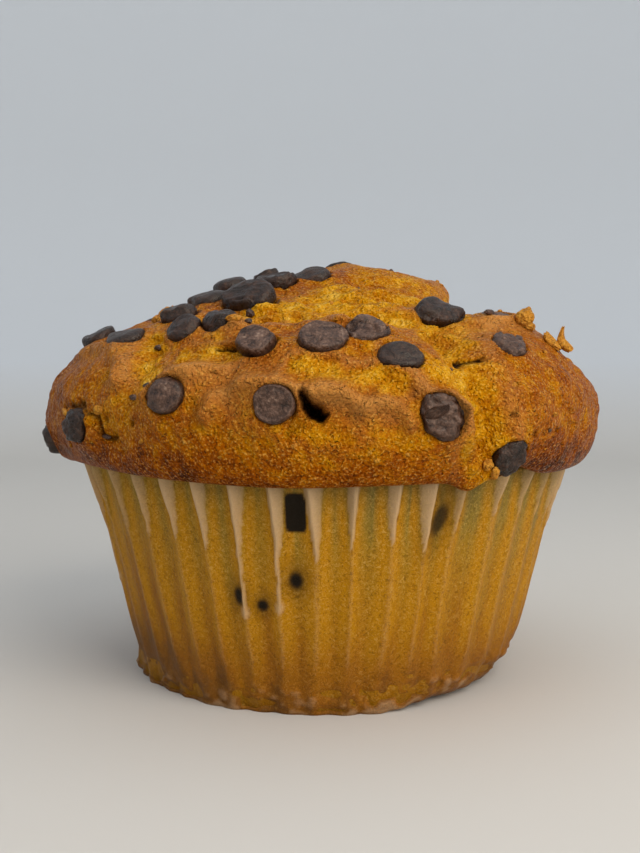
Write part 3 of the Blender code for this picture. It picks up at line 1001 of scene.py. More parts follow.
@dataclass
class Cake:
    """The baked cake: a fine cap on a plain body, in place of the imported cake."""

    form: CapForm
    seats: dict[str, ChipSeat]
    material: bpy.types.Material
    side: int = 300
    # Rings under the lip, by distance past its radius and over its edge.
    groove: tuple[tuple[float, float], ...] = ((-0.20, 0.35), (-0.35, 1.7))
    # Rings behind the paper, by height and distance inside its wall.
    wall: tuple[tuple[float, float], ...] = ((33.9, 1.4), (9.0, 1.5), (5.0, 2.6), (3.0, 4.0), (2.2, 6.0))
    body_bake: float = 0.4
    seed: int = 7
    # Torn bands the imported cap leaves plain; a rise under 0 marks them, its size unused.
    bands: tuple[Seam, ...] = (
        Seam(1.5, -1.0, ((-45, 0.41), (-41, 0.36), (-38.5, 0.30), (-35, 0.262))),
        Seam(1.6, -1.0, ((-5, 0.292), (-1, 0.275), (5, 0.255), (11, 0.25))),
        Seam(1.3, -1.0, ((14, 0.33), (19, 0.30), (21, 0.26))),
        Seam(1.3, -1.0, ((-30, 0.335), (-23, 0.335), (-18.5, 0.33))),
        Seam(1.8, -1.0, ((-120, 0.30), (-126, 0.38), (-140, 0.42))),
        Seam(1.7, -1.0, ((100, 0.33), (108, 0.28), (121, 0.27))),
        Seam(1.6, -1.0, ((150, 0.33), (158, 0.42), (172, 0.44))),
    )
    open_crumb: tuple[Swell, ...] = (
        Swell(-7, 0.60, 10.0, 3.6, 0, 1.0, 1.5),
        Swell(13, 0.70, 8.0, 6.5, 0, 1.0, 1.5),
        Swell(40, 0.66, 5.0, 5.0, 0, 0.8, 1.5),
        Swell(29, 0.42, 4.5, 4.5, 0, 1.0, 1.5),
        Swell(-150, 0.68, 8.0, 5.0, 0, 1.0, 1.5),
    )
    bumps: tuple[Swell, ...] = (
        Swell(-18.5, 0.250, 1.8, 3.4, 20, -1.7),
        Swell(-39.5, 0.31, 2.0, 5.0, 15, -0.9),
        Swell(-6.0, 0.200, 1.1, 3.4, 12, -1.2),
        Swell(4.8, 0.195, 1.0, 2.4, -10, -1.1),
        Swell(-5.5, 0.575, 2.0, 1.3, 0, 0.7),
        Swell(-58, 0.26, 5.0, 4.0, 0, 0.5),
        Swell(38, 0.19, 5.0, 4.0, 0, 0.5),
        Swell(50, 0.33, 5.0, 5.0, 0, 0.5),
        Swell(14, 0.12, 6.0, 3.0, 0, 0.3),
    )
    # Brows and creases: a positive rise is a dry, browned brow; its pale dry tint is partly dried crust
    # and partly a painted highlight on the raised brow.
    folds: tuple[Seam, ...] = (
        Seam(1.4, 0.55, ((-64, 0.34), (-54, 0.35), (-47, 0.335), (-44, 0.29), (-42, 0.25))),
        Seam(1.1, 0.60, ((-33, 0.205), (-32, 0.24), (-29, 0.27), (-24, 0.292), (-20.5, 0.283))),
        Seam(1.1, 0.60, ((-21.5, 0.18), (-19, 0.212), (-15.5, 0.243), (-11, 0.257), (-6.5, 0.247))),
        Seam(1.2, 0.65, ((-4.0, 0.224), (-1, 0.236), (2.5, 0.234), (4.0, 0.215))),
        Seam(1.1, 0.60, ((6, 0.192), (9, 0.204), (12, 0.186), (14, 0.165))),
        Seam(1.0, 0.65, ((-21.5, 0.46), (-20.5, 0.52), (-13.5, 0.548), (-5.5, 0.555), (1, 0.50),
                         (3, 0.47))),
        Seam(1.3, 0.55, ((38, 0.485), (46, 0.505), (56, 0.49), (62, 0.505), (74, 0.50))),
        Seam(1.0, 0.55, ((12.5, 0.285), (15, 0.262), (17, 0.228), (20, 0.213), (22.5, 0.19))),
        Seam(1.0, 0.50, ((22.5, 0.19), (24.5, 0.153), (26.5, 0.11), (28, 0.07))),
        Seam(1.3, 0.50, ((-116, 0.26), (-124, 0.33), (-142, 0.37), (-150, 0.42))),
        Seam(1.3, 0.50, ((96, 0.29), (107, 0.235), (124, 0.24))),
        Seam(1.2, 0.50, ((147, 0.37), (156, 0.46), (172, 0.48))),
        Seam(1.2, 0.50, ((-172, 0.25), (178, 0.30), (166, 0.27))),
    )
    holes: tuple[Swell, ...] = (
        Swell(-3.4, 0.222, 0.60, 0.75, 35, 2.4, 2.0),
        Swell(-2.8, 0.204, 0.75, 1.15, 20, 3.0, 2.0),
        Swell(-1.9, 0.186, 0.80, 1.10, 0, 3.0, 2.0),
        Swell(-1.1, 0.169, 0.65, 0.85, 0, 2.6, 2.0),
        Swell(-0.3, 0.173, 0.40, 0.40, 0, 1.6, 2.0),
        Swell(37, 0.243, 0.5, 0.4, 0, 0.8),
        Swell(171, 0.36, 0.9, 1.2, 20, 2.4),
    )
    slits: tuple[Seam, ...] = (
        Seam(0.55, 0.45, ((-6.1, 0.168), (-5.7, 0.150), (-6.3, 0.128))),
        Seam(0.50, 1.5, ((27.3, 0.310), (30, 0.323), (32.8, 0.322))),
        Seam(0.42, 1.1, ((-23.4, 0.353), (-21.5, 0.356), (-19.3, 0.351))),
        Seam(0.45, 1.1, ((-128, 0.37), (-132, 0.39), (-137, 0.395))),
        Seam(0.60, 0.9, ((-59.5, 0.150), (-58.0, 0.176), (-52.5, 0.188), (-47.8, 0.168), (-47.0, 0.130))),
        Seam(0.50, 0.9, ((-47.5, 0.118), (-44.5, 0.110), (-43.0, 0.113))),
    )
    # Browning that follows the oven's heat rather than the relief; three entries are painted light and
    # shade instead, as marked.
    browning_and_painted_light: tuple[Swell, ...] = (
        Swell(106, 0.84, 13.0, 14.0, 0, -0.18, 2.0),
        Swell(10, 0.92, 3.0, 3.2, 0, 0.20),
        Swell(60, 0.88, 7.0, 3.0, 0, 0.03),
        Swell(96, 0.82, 4.0, 8.0, 0, 0.03),
        Swell(66, 0.38, 13.0, 10.0, 0, 0.05),
        Swell(46, 0.075, 7.0, 3.0, 0, 0.16),
        Swell(-78, 0.25, 12.0, 9.0, 0, 0.10),
        Swell(-8, 0.11, 18.0, 4.5, 0, -0.08),
        Swell(-23, 0.345, 4.5, 1.6, 0, 0.04),
        Swell(35, 0.40, 3.2, 3.0, 0, 0.10),
        Swell(0.8, 0.222, 3.2, 1.9, 0, 0.24),
        Swell(8, 0.190, 4.0, 1.6, -12, 0.10),
        Swell(-28, 0.262, 3.6, 1.6, 10, 0.06),
        Swell(18.5, 0.235, 2.0, 3.4, 20, 0.10),
        # Painted light: the lower band lightened at the front and right, where the key light falls.
        Swell(18, 0.06, 24.0, 6.0, 0, -0.13, 2.0),
        Swell(3.5, 0.228, 3.0, 1.2, -6, 0.20),
        # Painted shadow: darker in the furrow under the left plate chip.
        Swell(-12.5, 0.306, 4.4, 1.4, 0, 0.13),
        Swell(-30, 0.36, 3.0, 1.2, 0, 0.10),
        # Painted highlight: lighter on the cap's left, low down.
        Swell(-42, 0.14, 6.0, 5.0, 0, -0.12),
        Swell(29, 0.13, 2.6, 4.5, 0, 0.19),
        Swell(58, 0.43, 8.0, 4.0, 0, 0.06),
        Swell(-5.5, 0.262, 2.6, 1.0, 0, 0.10),
    )
    dried: tuple[Swell, ...] = (
        Swell(0.5, 0.215, 3.4, 2.2, 0, 0.50),
        Swell(9, 0.185, 3.2, 2.0, 0, 0.35),
        Swell(-26, 0.272, 4.4, 2.0, 10, 0.45),
        Swell(-14, 0.225, 4.4, 2.4, 0, 0.35),
        Swell(-20, 0.42, 5.0, 3.0, 0, 0.2),
        Swell(50, 0.46, 9.0, 3.0, 0, 0.4),
        Swell(75, 0.44, 9.0, 6.0, 0, 0.25),
        Swell(-55, 0.32, 8.0, 3.0, 0, 0.2),
        Swell(175, 0.30, 8.0, 4.0, 0, 0.5),
        Swell(120, 0.22, 8.0, 4.0, 0, 0.4),
        Swell(-130, 0.25, 8.0, 4.0, 0, 0.4),
    )

    def disc(self) -> tuple[Array, Array]:
        """Azimuth and climb of a square grid laid over the cap.

        Each square ring of the grid becomes a circle (concentric map): the larger
        coordinate is the radius and the ratio of the two is the angle.

        Returns:
            Azimuth in degrees and climb.
        """
        line = np.linspace(-1.0, 1.0, self.side)
        x, y = np.meshgrid(line, line)
        wide = np.abs(x) > np.abs(y)
        safe_x, safe_y = np.where(x == 0, 1e-9, x), np.where(y == 0, 1e-9, y)
        angle = np.where(wide, math.pi / 4 * y / safe_x, math.pi / 2 - math.pi / 4 * x / safe_y)
        reach = np.where(wide, x, y)
        plan_x, plan_y = reach * np.cos(angle), reach * np.sin(angle)
        return np.degrees(np.arctan2(plan_x, -plan_y)), 1.0 - np.hypot(plan_x, plan_y)

    def boundary(self) -> Array:
        """Indices of the grid's edge, once round, counter-clockwise from above."""
        n = self.side
        return np.concatenate([np.arange(n - 1), np.arange(n - 1) * n + n - 1,
                               n * n - 1 - np.arange(n - 1), (n - 1 - np.arange(n - 1)) * n])

    def build(self, wall_radius: Callable[[float], float]) -> Piece:
        """Build the cake as one closed piece.

        Args:
            wall_radius: Function from a height to the case's mean radius.

        Returns:
            The piece.
        """
        azimuth, climb = self.disc()
        plain = self.form.plain(azimuth.ravel(), np.clip(climb.ravel(), 0.0, 1.0))
        surface, looks = self.surface(plain)
        edge = self.boundary()
        azimuth = np.degrees(np.arctan2(plain[edge, 0], -plain[edge, 1]))
        hem = self.form.hem_at(azimuth)
        rings = [(self.form.lip_radius + step, self.form.lip + up + hem * (1 - up / 2.5))
                 for step, up in self.groove]
        rings += [(wall_radius(level) - inset, level) for level, inset in self.wall]
        stack = [around(azimuth, radius, height) for radius, height in rings]
        count, size = len(surface), len(edge)
        points = np.concatenate([surface, *stack, [[0.0, 0.0, self.wall[-1][0]]]])
        loops = [edge] + [count + i * size + np.arange(size) for i in range(len(rings))]
        quads = [grid_faces(self.side, self.side, False)]
        for upper, lower in zip(loops[:-1], loops[1:]):
            quads.append(np.stack([lower, np.roll(lower, -1), np.roll(upper, -1), upper], axis=-1))
        bottom = fan_faces(loops[-1], len(points) - 1)[:, ::-1]
        piece = make_piece("cake_with_cap", points, np.concatenate(quads), bottom)
        for name, values in looks.items():
            body = self.body_bake if name == "bake" else 0.0
            paint(piece, name, np.append(values, np.full(len(points) - count, body)))
        piece.data.materials.append(self.material)
        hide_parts("cake")
        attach(piece, BODY)
        return piece

    def surface(self, plain: Array) -> tuple[Array, dict[str, Array]]:
        """Fine surface of the cap and what its finish needs to know.

        Args:
            plain: Points of the plain cap.

        Returns:
            Points in mm, and bake, crumb, dry and pit_shade, each from 0 to 1; pit_shade is painted shade
            in pores, holes, slits and round the chips.
        """
        form, grain = self.form, Grain(self.seed)
        low = smoothstep(form.lip + 7.5, form.lip + 1.0, plain[:, 2])
        above = smoothstep(form.lip + 0.2, form.lip + 3.0, plain[:, 2])
        wobbled = plain + 0.5 * np.stack([grain.soft(plain + 31 * k, 2.2) for k in (1, 2, 3)], axis=-1)
        torn, brow = self.torn(plain, grain)
        near = grain.cells(wobbled, 2.3)
        crease = grain.ridged(plain + 40.0, 5.0, 3)
        skin = 0.34 * (crease - 0.5) + 0.22 * grain.layered(plain, 1.9, 3)
        # Pores are dented and painted dark as shade.
        pores = smoothstep(0.24, 0.08, grain.cells(plain + 9.0, 3.0)) * (1 - low)
        pores *= smoothstep(0.0, 0.35, grain.soft(plain + 60, 7.0))
        crumble = 0.95 * (0.5 - near) + 0.42 * (0.5 - grain.cells(wobbled + 7.0, 1.15))
        crumble += 0.55 * grain.layered(plain, 2.6, 3)
        rise = 0.40 * grain.layered(plain, 12.0, 2) + 0.40 * brow * (0.5 + grain.soft(plain + 5, 3.0))
        rise += 0.80 * grain.layered(plain + 50.0, 4.2, 4) * (1 - 0.75 * low) * (0.7 + 0.8 * torn)
        rise += skin * (1.0 - 0.55 * low) * (1 - torn) + crumble * torn - 0.6 * pores
        bake = 0.51 + 0.22 * low + 0.5 * skin - 0.22 * self.warmth(plain, grain) + 0.12 * brow
        # Painted shade: in the torn crumb the hollows between the crumble's lumps are browned darker.
        bake += torn * (0.2 * (near - 0.4) - 0.10)
        dry = 0.35 * brow + 0.16 * smoothstep(0.55, 0.95, crease) * (1 - low) * (1 - torn)
        for values, swells in ((rise, self.bumps), (bake, self.browning_and_painted_light), (dry, self.dried)):
            for swell in swells:
                values += form.swell_at(plain, swell)
        for seam in self.folds:
            line = form.seam_line(wobbled, seam, 1.2)
            rise += 2.7 * seam.rise * form.seam_line(wobbled, seam)
            bake += 0.08 * line
            # Partly a painted highlight: the raised brow gets the pale dry tint.
            dry += 0.42 * line * (1 - 0.7 * torn)
        shaped = form.shape(plain)
        out = unit(shaped - form.heart)
        points = shaped + out * (rise * above)[:, None]
        points, pit_shade = self.opened(points, wobbled, out, 0.5 * pores * (1 - torn))
        return points, {"bake": bake, "crumb": torn, "dry": dry * (1 - 0.6 * low), "pit_shade": pit_shade}

    def opened(self, points: Array, wobbled: Array, out: Array, pit_shade: Array) -> tuple[Array, Array]:
        """Open the holes and slits in the crust and press in the chips' seats.

        Args:
            points: Places on the crust.
            wobbled: The same places on the plain cap, unsettled by noise.
            out: Directions away from the heart.
            pit_shade: How much painted shade each place already has, from 0 to 1.

        Returns:
            Moved places, and the painted shade at each: in the holes and slits and round each chip.
        """
        # Holes and slits are painted dark as shade where they are deep.
        for swell in self.holes:
            deep = self.form.swell_at(wobbled, swell)
            points = points - out * deep[:, None]
            pit_shade = np.maximum(pit_shade, smoothstep(0.35, 0.8, deep / swell.rise))
        for seam in self.slits:
            deep = self.form.seam_line(wobbled, seam)
            points = points - out * (seam.rise * deep)[:, None]
            pit_shade = np.maximum(pit_shade, smoothstep(0.3, 0.8, deep) * min(seam.rise / 1.2, 1.0))
        for seat in self.seats.values():
            points, ring = self.seat_chip(points, seat)
            # Painted shade in a ring round the chip's edge.
            pit_shade = np.maximum(pit_shade, 0.4 * ring)
        return points, pit_shade

    def warmth(self, plain: Array, grain: Grain) -> Array:
        """How golden the cake stays near its tears: 1 at a tear, easing off over a few widths.

        Args:
            plain: Points of the plain cap.
            grain: Noise that frays the edges.

        Returns:
            A share from 0 to 1.
        """
        total = np.zeros(len(plain))
        wander = 1.6 * grain.layered(plain + 80.0, 5.0, 3)
        for seam in self.form.cracks + self.bands:
            gap = (self.form.seam_distance(plain, seam.path) + wander) / seam.width
            total = np.maximum(total, smoothstep(2.9, 0.2, gap))
        for swell in self.open_crumb:
            level = self.form.swell_at(plain, swell) + 0.05 * wander
            total = np.maximum(total, smoothstep(0.02, 0.7, level))
        return total

    def torn(self, plain: Array, grain: Grain) -> tuple[Array, Array]:
        """Where the crust tore open, and the brow along the tear's edges.

        Args:
            plain: Points of the plain cap.
            grain: Noise that frays the edges.

        Returns:
            Torn share and brow share, each from 0 to 1.
        """
        form = self.form
        fray = 2.2 * grain.layered(plain, 4.5, 4)
        torn, brow = np.zeros(len(plain)), np.zeros(len(plain))
        for seam in form.cracks + self.bands:
            gap = (form.seam_distance(plain, seam.path) + fray) / seam.width
            torn = np.maximum(torn, smoothstep(1.5, 0.6, gap))
            brow = np.maximum(brow, np.exp(-((gap - 1.65) / 0.4) ** 2))
        for swell in self.open_crumb:
            torn = np.maximum(torn, smoothstep(0.25, 0.6, form.swell_at(plain, swell) + 0.12 * fray))
        return torn, brow * (1 - torn)

    @staticmethod
    def seat_chip(points: Array, seat: ChipSeat) -> tuple[Array, Array]:
        """Press the crust down under a chip and raise a soft collar round it.

        With q the elliptic distance in the chip's plane, points inside q = 0.9 go below
        the chip's middle.  Outside it a narrow collar tops a low mound that eases off by
        q = 2.3, where the crust is below the chip's top.

        Args:
            points: Crust points, in mm.
            seat: The chip.

        Returns:
            Moved points, and a 0 to 1 ring round the chip's edge, painted as shade on the crust.
        """
        local = seat.local(points)
        q = np.hypot(local[:, 0], local[:, 1])
        near = smoothstep(5.0, 3.0, np.abs(local[:, 2]))
        inside = smoothstep(1.02, 0.84, q) * near
        push = np.maximum(local[:, 2] + 0.2, 0.0) * seat.half[2] * inside
        low_by = smoothstep(1.0, 0.3, local[:, 2])
        collar = 0.20 * np.exp(-((q - 1.14) / 0.14) ** 2) + 0.50 * smoothstep(2.3, 1.05, q)
        moved = points + seat.axes[2] * (collar * near * low_by * (1 - inside) - push)[:, None]
        return moved, np.exp(-((q - 1.0) / 0.06) ** 2) * near


# ------------------------------------------------------------------ crumbs


@dataclass(frozen=True)
class Crumb:
    """A loose bit on the cap: its place, sizes in mm, turn in degrees, lift and bend in mm."""

    azimuth: float
    climb: float
    length: float
    width: float
    height: float
    turn: float = 0.0
    lift: float = 0.0
    bend: float = 0.0


@dataclass
class Crumbs:
    """Loose crumbs and flakes on the cap, of one stuff."""

    name: str
    slot: str
    cake: Cake
    material: bpy.types.Material
    bits: tuple[Crumb, ...]
    scattered: int
    seed: int
    looks: dict[str, float]
    fine: tuple[int, int] = (22, 30)       # rings and points round one, of a named bit
    coarse: tuple[int, int] = (4, 8)       # and of a scattered one

    def build(self) -> Piece:
        """Build the named bits finely and the scattered ones coarsely, as one piece.

        Returns:
            The piece.
        """
        draw = np.random.default_rng(self.seed)
        sizes = draw.uniform(0.35, 0.9, (self.scattered, 3)) * (1.0, 0.8, 0.6)
        strewn = [Crumb(azimuth, climb, *size, turn) for azimuth, climb, size, turn in zip(
            draw.uniform(-180, 180, self.scattered), draw.uniform(0.06, 0.9, self.scattered),
            sizes, draw.uniform(0, 180, self.scattered))]
        fine = [(bit, self.fine) for bit in self.bits]
        coarse = [(bit, self.coarse) for bit in strewn]
        points, quads, triangles, count = [], [], [], 0
        for bit, (rows, turns) in fine + coarse:
            tilt = np.linspace(0.0, math.pi, rows + 2)[1:-1]
            unit_ball, squares, ends = ball(np.sin(tilt), np.cos(tilt), turns)
            points.append(self.one(bit, unit_ball, Grain(self.seed + len(points))))
            quads.append(squares + count)
            triangles.append(ends + count)
            count += len(unit_ball)
        piece = make_piece(self.name, *(np.concatenate(part) for part in (points, quads, triangles)))
        for name, value in self.looks.items():
            paint(piece, name, np.full(count, value))
        piece.data.materials.append(self.material)
        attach(piece, BODY)
        return piece

    def one(self, bit: Crumb, unit_ball: Array, grain: Grain) -> Array:
        """A bit's points: a ball made lumpy, sized, bent up at its far end and laid on the crust.

        Args:
            bit: The bit.
            unit_ball: Points of a unit ball.
            grain: Its noise.

        Returns:
            Points in mm.
        """
        lumpy = unit_ball * (1.0 + 0.42 * grain.layered(unit_ball, 0.9, 3))[:, None]
        sized = lumpy * (bit.length / 2, bit.width / 2, bit.height / 2)
        sized[:, 2] += bit.bend * np.clip(lumpy[:, 0], 0.0, None) ** 2 + bit.lift
        form = self.cake.form
        places = form.plain(np.full(3, bit.azimuth), bit.climb + np.array([0.0, 0.01, -0.01]))
        ground, _ = self.cake.surface(places)
        along = unit(ground[1] - ground[2])
        out = unit(ground[0] - form.heart)
        out = unit(out - (out @ along) * along)
        across = np.cross(along, out)
        turn = math.radians(bit.turn)
        first = math.cos(turn) * across + math.sin(turn) * along
        return ground[0] + sized @ np.stack([first, np.cross(out, first), out])


BAKED_BITS = (
    Crumb(59.5, 0.450, 2.4, 2.2, 2.8, 20, 0.9, 0.6), Crumb(60.0, 0.436, 2.0, 2.2, 1.4, 60, 0.4, 0.7),
    Crumb(60.5, 0.365, 3.4, 2.2, 1.0, 80, 0.3, 0.4), Crumb(61.5, 0.345, 3.6, 1.5, 1.3, 90, 1.2, 1.9),
    Crumb(-60.2, 0.513, 2.6, 2.0, 1.6, 20, 0.2), Crumb(-63.2, 0.546, 2.8, 2.0, 2.2, 60, 0.4, 0.6),
    Crumb(-67.2, 0.580, 2.2, 1.8, 1.8, 0, 0.3), Crumb(-21.5, 0.456, 2.0, 1.4, 1.0, 10),
    Crumb(-35.2, 0.111, 0.9, 0.5, 0.4, 30), Crumb(-25.5, 0.117, 0.9, 0.5, 0.4, -30),
    Crumb(46.0, 0.166, 1.1, 0.7, 0.5, 10), Crumb(44.5, 0.196, 0.7, 0.6, 0.4, 50),
    Crumb(36.5, 0.240, 1.5, 1.1, 0.9, 20), Crumb(31.0, 0.066, 1.8, 1.3, 1.3, 40),
    Crumb(32.2, 0.040, 1.6, 1.2, 1.2, 80), Crumb(-47.0, 0.177, 2.2, 1.2, 1.0, 20),
    Crumb(-56.8, 0.166, 1.8, 1.0, 0.9, -20), Crumb(8.0, 0.440, 1.6, 1.0, 0.8, 10),
    Crumb(-12.0, 0.520, 1.6, 0.8, 0.7, 0),
)
CHOCOLATE_BITS = (
    Crumb(17.8, 0.213, 3.6, 2.8, 0.7, 100, 2.5, 0.5), Crumb(-38.0, 0.211, 1.5, 0.8, 0.7, 0, 0.1),
    Crumb(-34.2, 0.234, 1.3, 0.9, 0.5, 40, 0.3), Crumb(-46.5, 0.111, 1.9, 0.7, 0.6, 0, 0.1),
    Crumb(-19.2, 0.464, 1.3, 1.0, 0.8, 0, 0.2), Crumb(-56.0, 0.118, 1.3, 0.9, 0.6, 30, 0.1),
    Crumb(4.5, 0.402, 2.0, 1.0, 1.0, 20, 0.6), Crumb(-4.0, 0.402, 1.5, 1.0, 0.9, -20, 0.5),
    Crumb(47.5, 0.380, 1.6, 1.0, 0.6, 30, 0.1), Crumb(51.0, 0.505, 1.8, 1.0, 0.8, 0, 0.3),
    Crumb(-24.5, 0.560, 1.4, 1.1, 1.1, 0, 0.5), Crumb(-41.0, 0.365, 1.2, 0.9, 0.8, 0, 0.2),
)


# ------------------------------------------------------------------ the paper case


@dataclass(frozen=True)
class Pleat:
    """A fold that stands off the cake: width at the rim, height where it dies out, dryness.

    A tail, if not 0, is the height down to which the fold goes on as a thin dry line.
    """

    azimuth: float
    width: float
    end: float
    pale: float = 1.0
    tail: float = 0.0


@dataclass
class PaperCase:
    """The pleated cup: thin paper that clings to the cake and stands off it in folds."""

    seats: dict[str, ChipSeat]
    material: bpy.types.Material
    rim: float
    base_radius: float = 28.6
    slope: float = 13.2
    columns: int = 800
    rows: int = 90
    paper: float = 0.12
    cling_inset: float = 0.62
    front: tuple[Pleat, ...] = (
        Pleat(-65.0, 1.1, 24.0, 0.6), Pleat(-54.0, 1.2, 22.5, 0.7), Pleat(-44.6, 1.5, 23.0, 0.8),
        Pleat(-35.9, 2.1, 23.5), Pleat(-27.8, 1.9, 22.5), Pleat(-19.3, 2.5, 21.5, 1.0, 13.5),
        Pleat(-10.8, 2.4, 20.5, 1.0, 14.5), Pleat(-2.8, 2.6, 21.5), Pleat(5.5, 1.7, 23.0),
        Pleat(14.3, 2.1, 23.5), Pleat(21.8, 2.8, 22.5), Pleat(29.3, 1.5, 24.5, 0.7),
        Pleat(40.5, 1.7, 26.5, 0.8), Pleat(49.5, 1.3, 26.0, 0.7), Pleat(58.0, 1.2, 25.0, 0.6))
    count: int = 40      # folds all round
    hidden_height: tuple[float, float] = (0.05, 0.4)      # the stain's height on base and inside
    flat_radius: float = 36.0      # of the straight cylinder that noise is read on
    pleat_seed: int = 21
    grain_seed: int = 33

    def wall_radius(self, height: float | Array) -> float | Array:
        """Mean radius of the wall at a height."""
        return self.base_radius + height * math.tan(math.radians(self.slope))

    def pleats(self) -> list[Pleat]:
        """The folds: the front ones, then seeded ones like them the rest of the way round.

        Returns:
            One pleat for each fold.
        """
        draw = np.random.default_rng(self.pleat_seed)
        spare = self.count - len(self.front)
        start, end = self.front[-1].azimuth, self.front[0].azimuth + 360.0
        even = start + (end - start) * np.arange(1, spare + 1) / (spare + 1)
        return list(self.front) + [
            Pleat(azimuth + draw.uniform(-1.4, 1.4), draw.uniform(1.2, 2.6), draw.uniform(21.0, 26.0),
                  draw.uniform(0.7, 1.0), draw.choice([0.0, 14.5], p=[0.85, 0.15])) for azimuth in even]

    def folds(self, azimuth: Array, height: Array, bend: Array) -> dict[str, Array]:
        """How the nearest fold stands at each place.

        A fold is a lopsided tent: its lift falls off in straight lines from a ridge on its
        outer side, and its height and width shrink downwards to its end.  Below that a
        narrow crease goes on towards the foot.

        Args:
            azimuth: Degrees round the wall.
            height: Height in mm.
            bend: How far a fold wanders sideways, in mm.

        Returns:
            Gap from the fold and its breadth in mm, and share up it, tent, crease and its
            pale dry tip and paleness, each from 0 to 1.
        """
        pleats = self.pleats()
        azimuths, widths, ends, pales, tails = (
            np.array([getattr(pleat, name) for pleat in pleats])
            for name in ("azimuth", "width", "end", "pale", "tail"))
        away = (azimuth[..., None] - azimuths + 180.0) % 360.0 - 180.0
        nearest = np.abs(away).argmin(axis=-1)
        gap = np.radians(np.take_along_axis(away, nearest[..., None], axis=-1)[..., 0])
        gap = (gap * self.wall_radius(height) + bend) * np.sign(azimuths[nearest])
        end, width, tail = ends[nearest], widths[nearest], tails[nearest]
        share = np.clip((height - end) / (self.rim - end), 0.0, 1.0)
        narrowed = width * share ** 0.8
        line = 0.30 * (tail > 0) * smoothstep(-0.4, 0.4, height - tail)
        broad = np.maximum(narrowed, line)
        beyond = gap - 0.20 * narrowed
        fall = np.where(beyond > 0, beyond / (0.32 * broad + 0.10), -beyond / (0.80 * broad + 0.10))
        tent = np.clip(1.0 - fall, 0.0, 1.0) * smoothstep(0.04, 0.30, broad)
        below = (1 - smoothstep(0.0, 0.4, share)) * smoothstep(2.0, 9.0, height)
        crease = np.exp(-(np.abs(beyond) / 0.55) ** 1.5) * below
        tip = np.exp(-(((height - tail - 0.9) / 0.9) ** 2 + (gap / 0.6) ** 2)) * (tail > 0)
        return {"gap": gap, "broad": broad, "share": share, "tent": tent, "crease": crease,
                "tip": tip, "pale": pales[nearest]}

    def wall(self, azimuth: Array, height: Array) -> tuple[Array, dict[str, Array]]:
        """The paper's outer face: it clings to the cake, and its folds, foot and waves move it.

        Args:
            azimuth: Degrees round the wall.
            height: Height in mm.

        Returns:
            Points in mm, and lift, height, amber and dark from 0 to 1; height is lowered on the left side
            as painted shade.
        """
        grain = Grain(self.grain_seed)
        flat = around(azimuth, self.flat_radius, height)
        bend = 0.55 * grain.soft(flat * (1, 1, 0.35), 6.0) + 0.14 * grain.soft(flat, 1.6)
        fold = self.folds(azimuth, height, bend * smoothstep(32.0, 22.0, height))
        gap, tent, share, crease = (fold[name] for name in ("gap", "tent", "share", "crease"))
        wave = 0.14 * grain.layered(flat * (1, 1, 0.4), 4.0) + 0.20 * np.cos(gap * 1.25)
        foot, crinkle = self.foot(flat, grain)
        flange = 0.9 * np.exp(-((azimuth + 86.0) / 16.0) ** 2) * smoothstep(1.8, 0.2, height)
        tuck = 1.1 * np.exp(-((azimuth - 80.0) / 32.0) ** 2) * smoothstep(3.0, 0.0, height)
        radius = self.wall_radius(height) - self.cling_inset + tent * (0.16 + 1.35 * share ** 0.8)
        radius += 0.26 * crease + wave + crinkle + flange - tuck
        right = smoothstep(12.0, 40.0, azimuth) * smoothstep(142.0, 90.0, azimuth)
        raised = 1.9 * right * smoothstep(9.0, 0.0, height)
        points = around(azimuth, radius, height + raised)

        flank = smoothstep(0.02, 0.22, tent) * (0.50 + 0.50 * tent)
        lift = flank * fold["pale"] * (0.85 + 0.15 * share)
        for dry in (0.20 * crease, 0.8 * fold["tip"], foot):
            lift = np.maximum(lift, dry)
        beside = np.exp(-((np.abs(gap + 0.3) - 0.45 * fold["broad"] - 0.7) / 0.9) ** 2)
        amber = 0.95 * beside * smoothstep(5.0, 15.0, height) * smoothstep(36.0, 27.0, height)
        dark = self.behind(points) * (1.0 - smoothstep(0.1, 0.35, tent))
        # Painted shade: the case's left side is darkened by moving its colour down the ramp.
        painted_left_shade = smoothstep(-10.0, -60.0, azimuth) * smoothstep(-175.0, -120.0, azimuth)
        stripe = 0.16 * grain.layered(flat * (1.0, 1.0, 0.12) + 40.0, 2.6, 2)
        level = 0.02 + 0.98 * height / self.rim - 0.20 * painted_left_shade + stripe
        return points, {"lift": lift, "height": level, "amber": amber, "dark": dark}

    @staticmethod
    def foot(flat: Array, grain: Grain) -> tuple[Array, Array]:
        """Dry share and relief in mm of the crushed paper at the foot.

        Args:
            flat: Places on the wall, in mm, on a straight cylinder.
            grain: Noise.

        Returns:
            Dry share from 0 to 1, and relief.
        """
        near = smoothstep(5.5, 1.0, flat[..., 2] + 1.6 * grain.soft(flat, 7.0))
        slant = flat * (0.8, 0.8, 1.0) + flat[..., 2:] * (0.5, 0.3, 0.0)
        fold = grain.layered(slant, 3.4, 3) + 0.5 * grain.soft(flat * (1, 1, 2.0) + 9.0, 1.7)
        relief = near * 0.85 * fold
        edge = smoothstep(0.75, 0.35, flat[..., 2])
        return near * 0.36 * smoothstep(0.0, 0.55, fold) + 0.10 * edge, relief * (1 - 0.6 * edge)

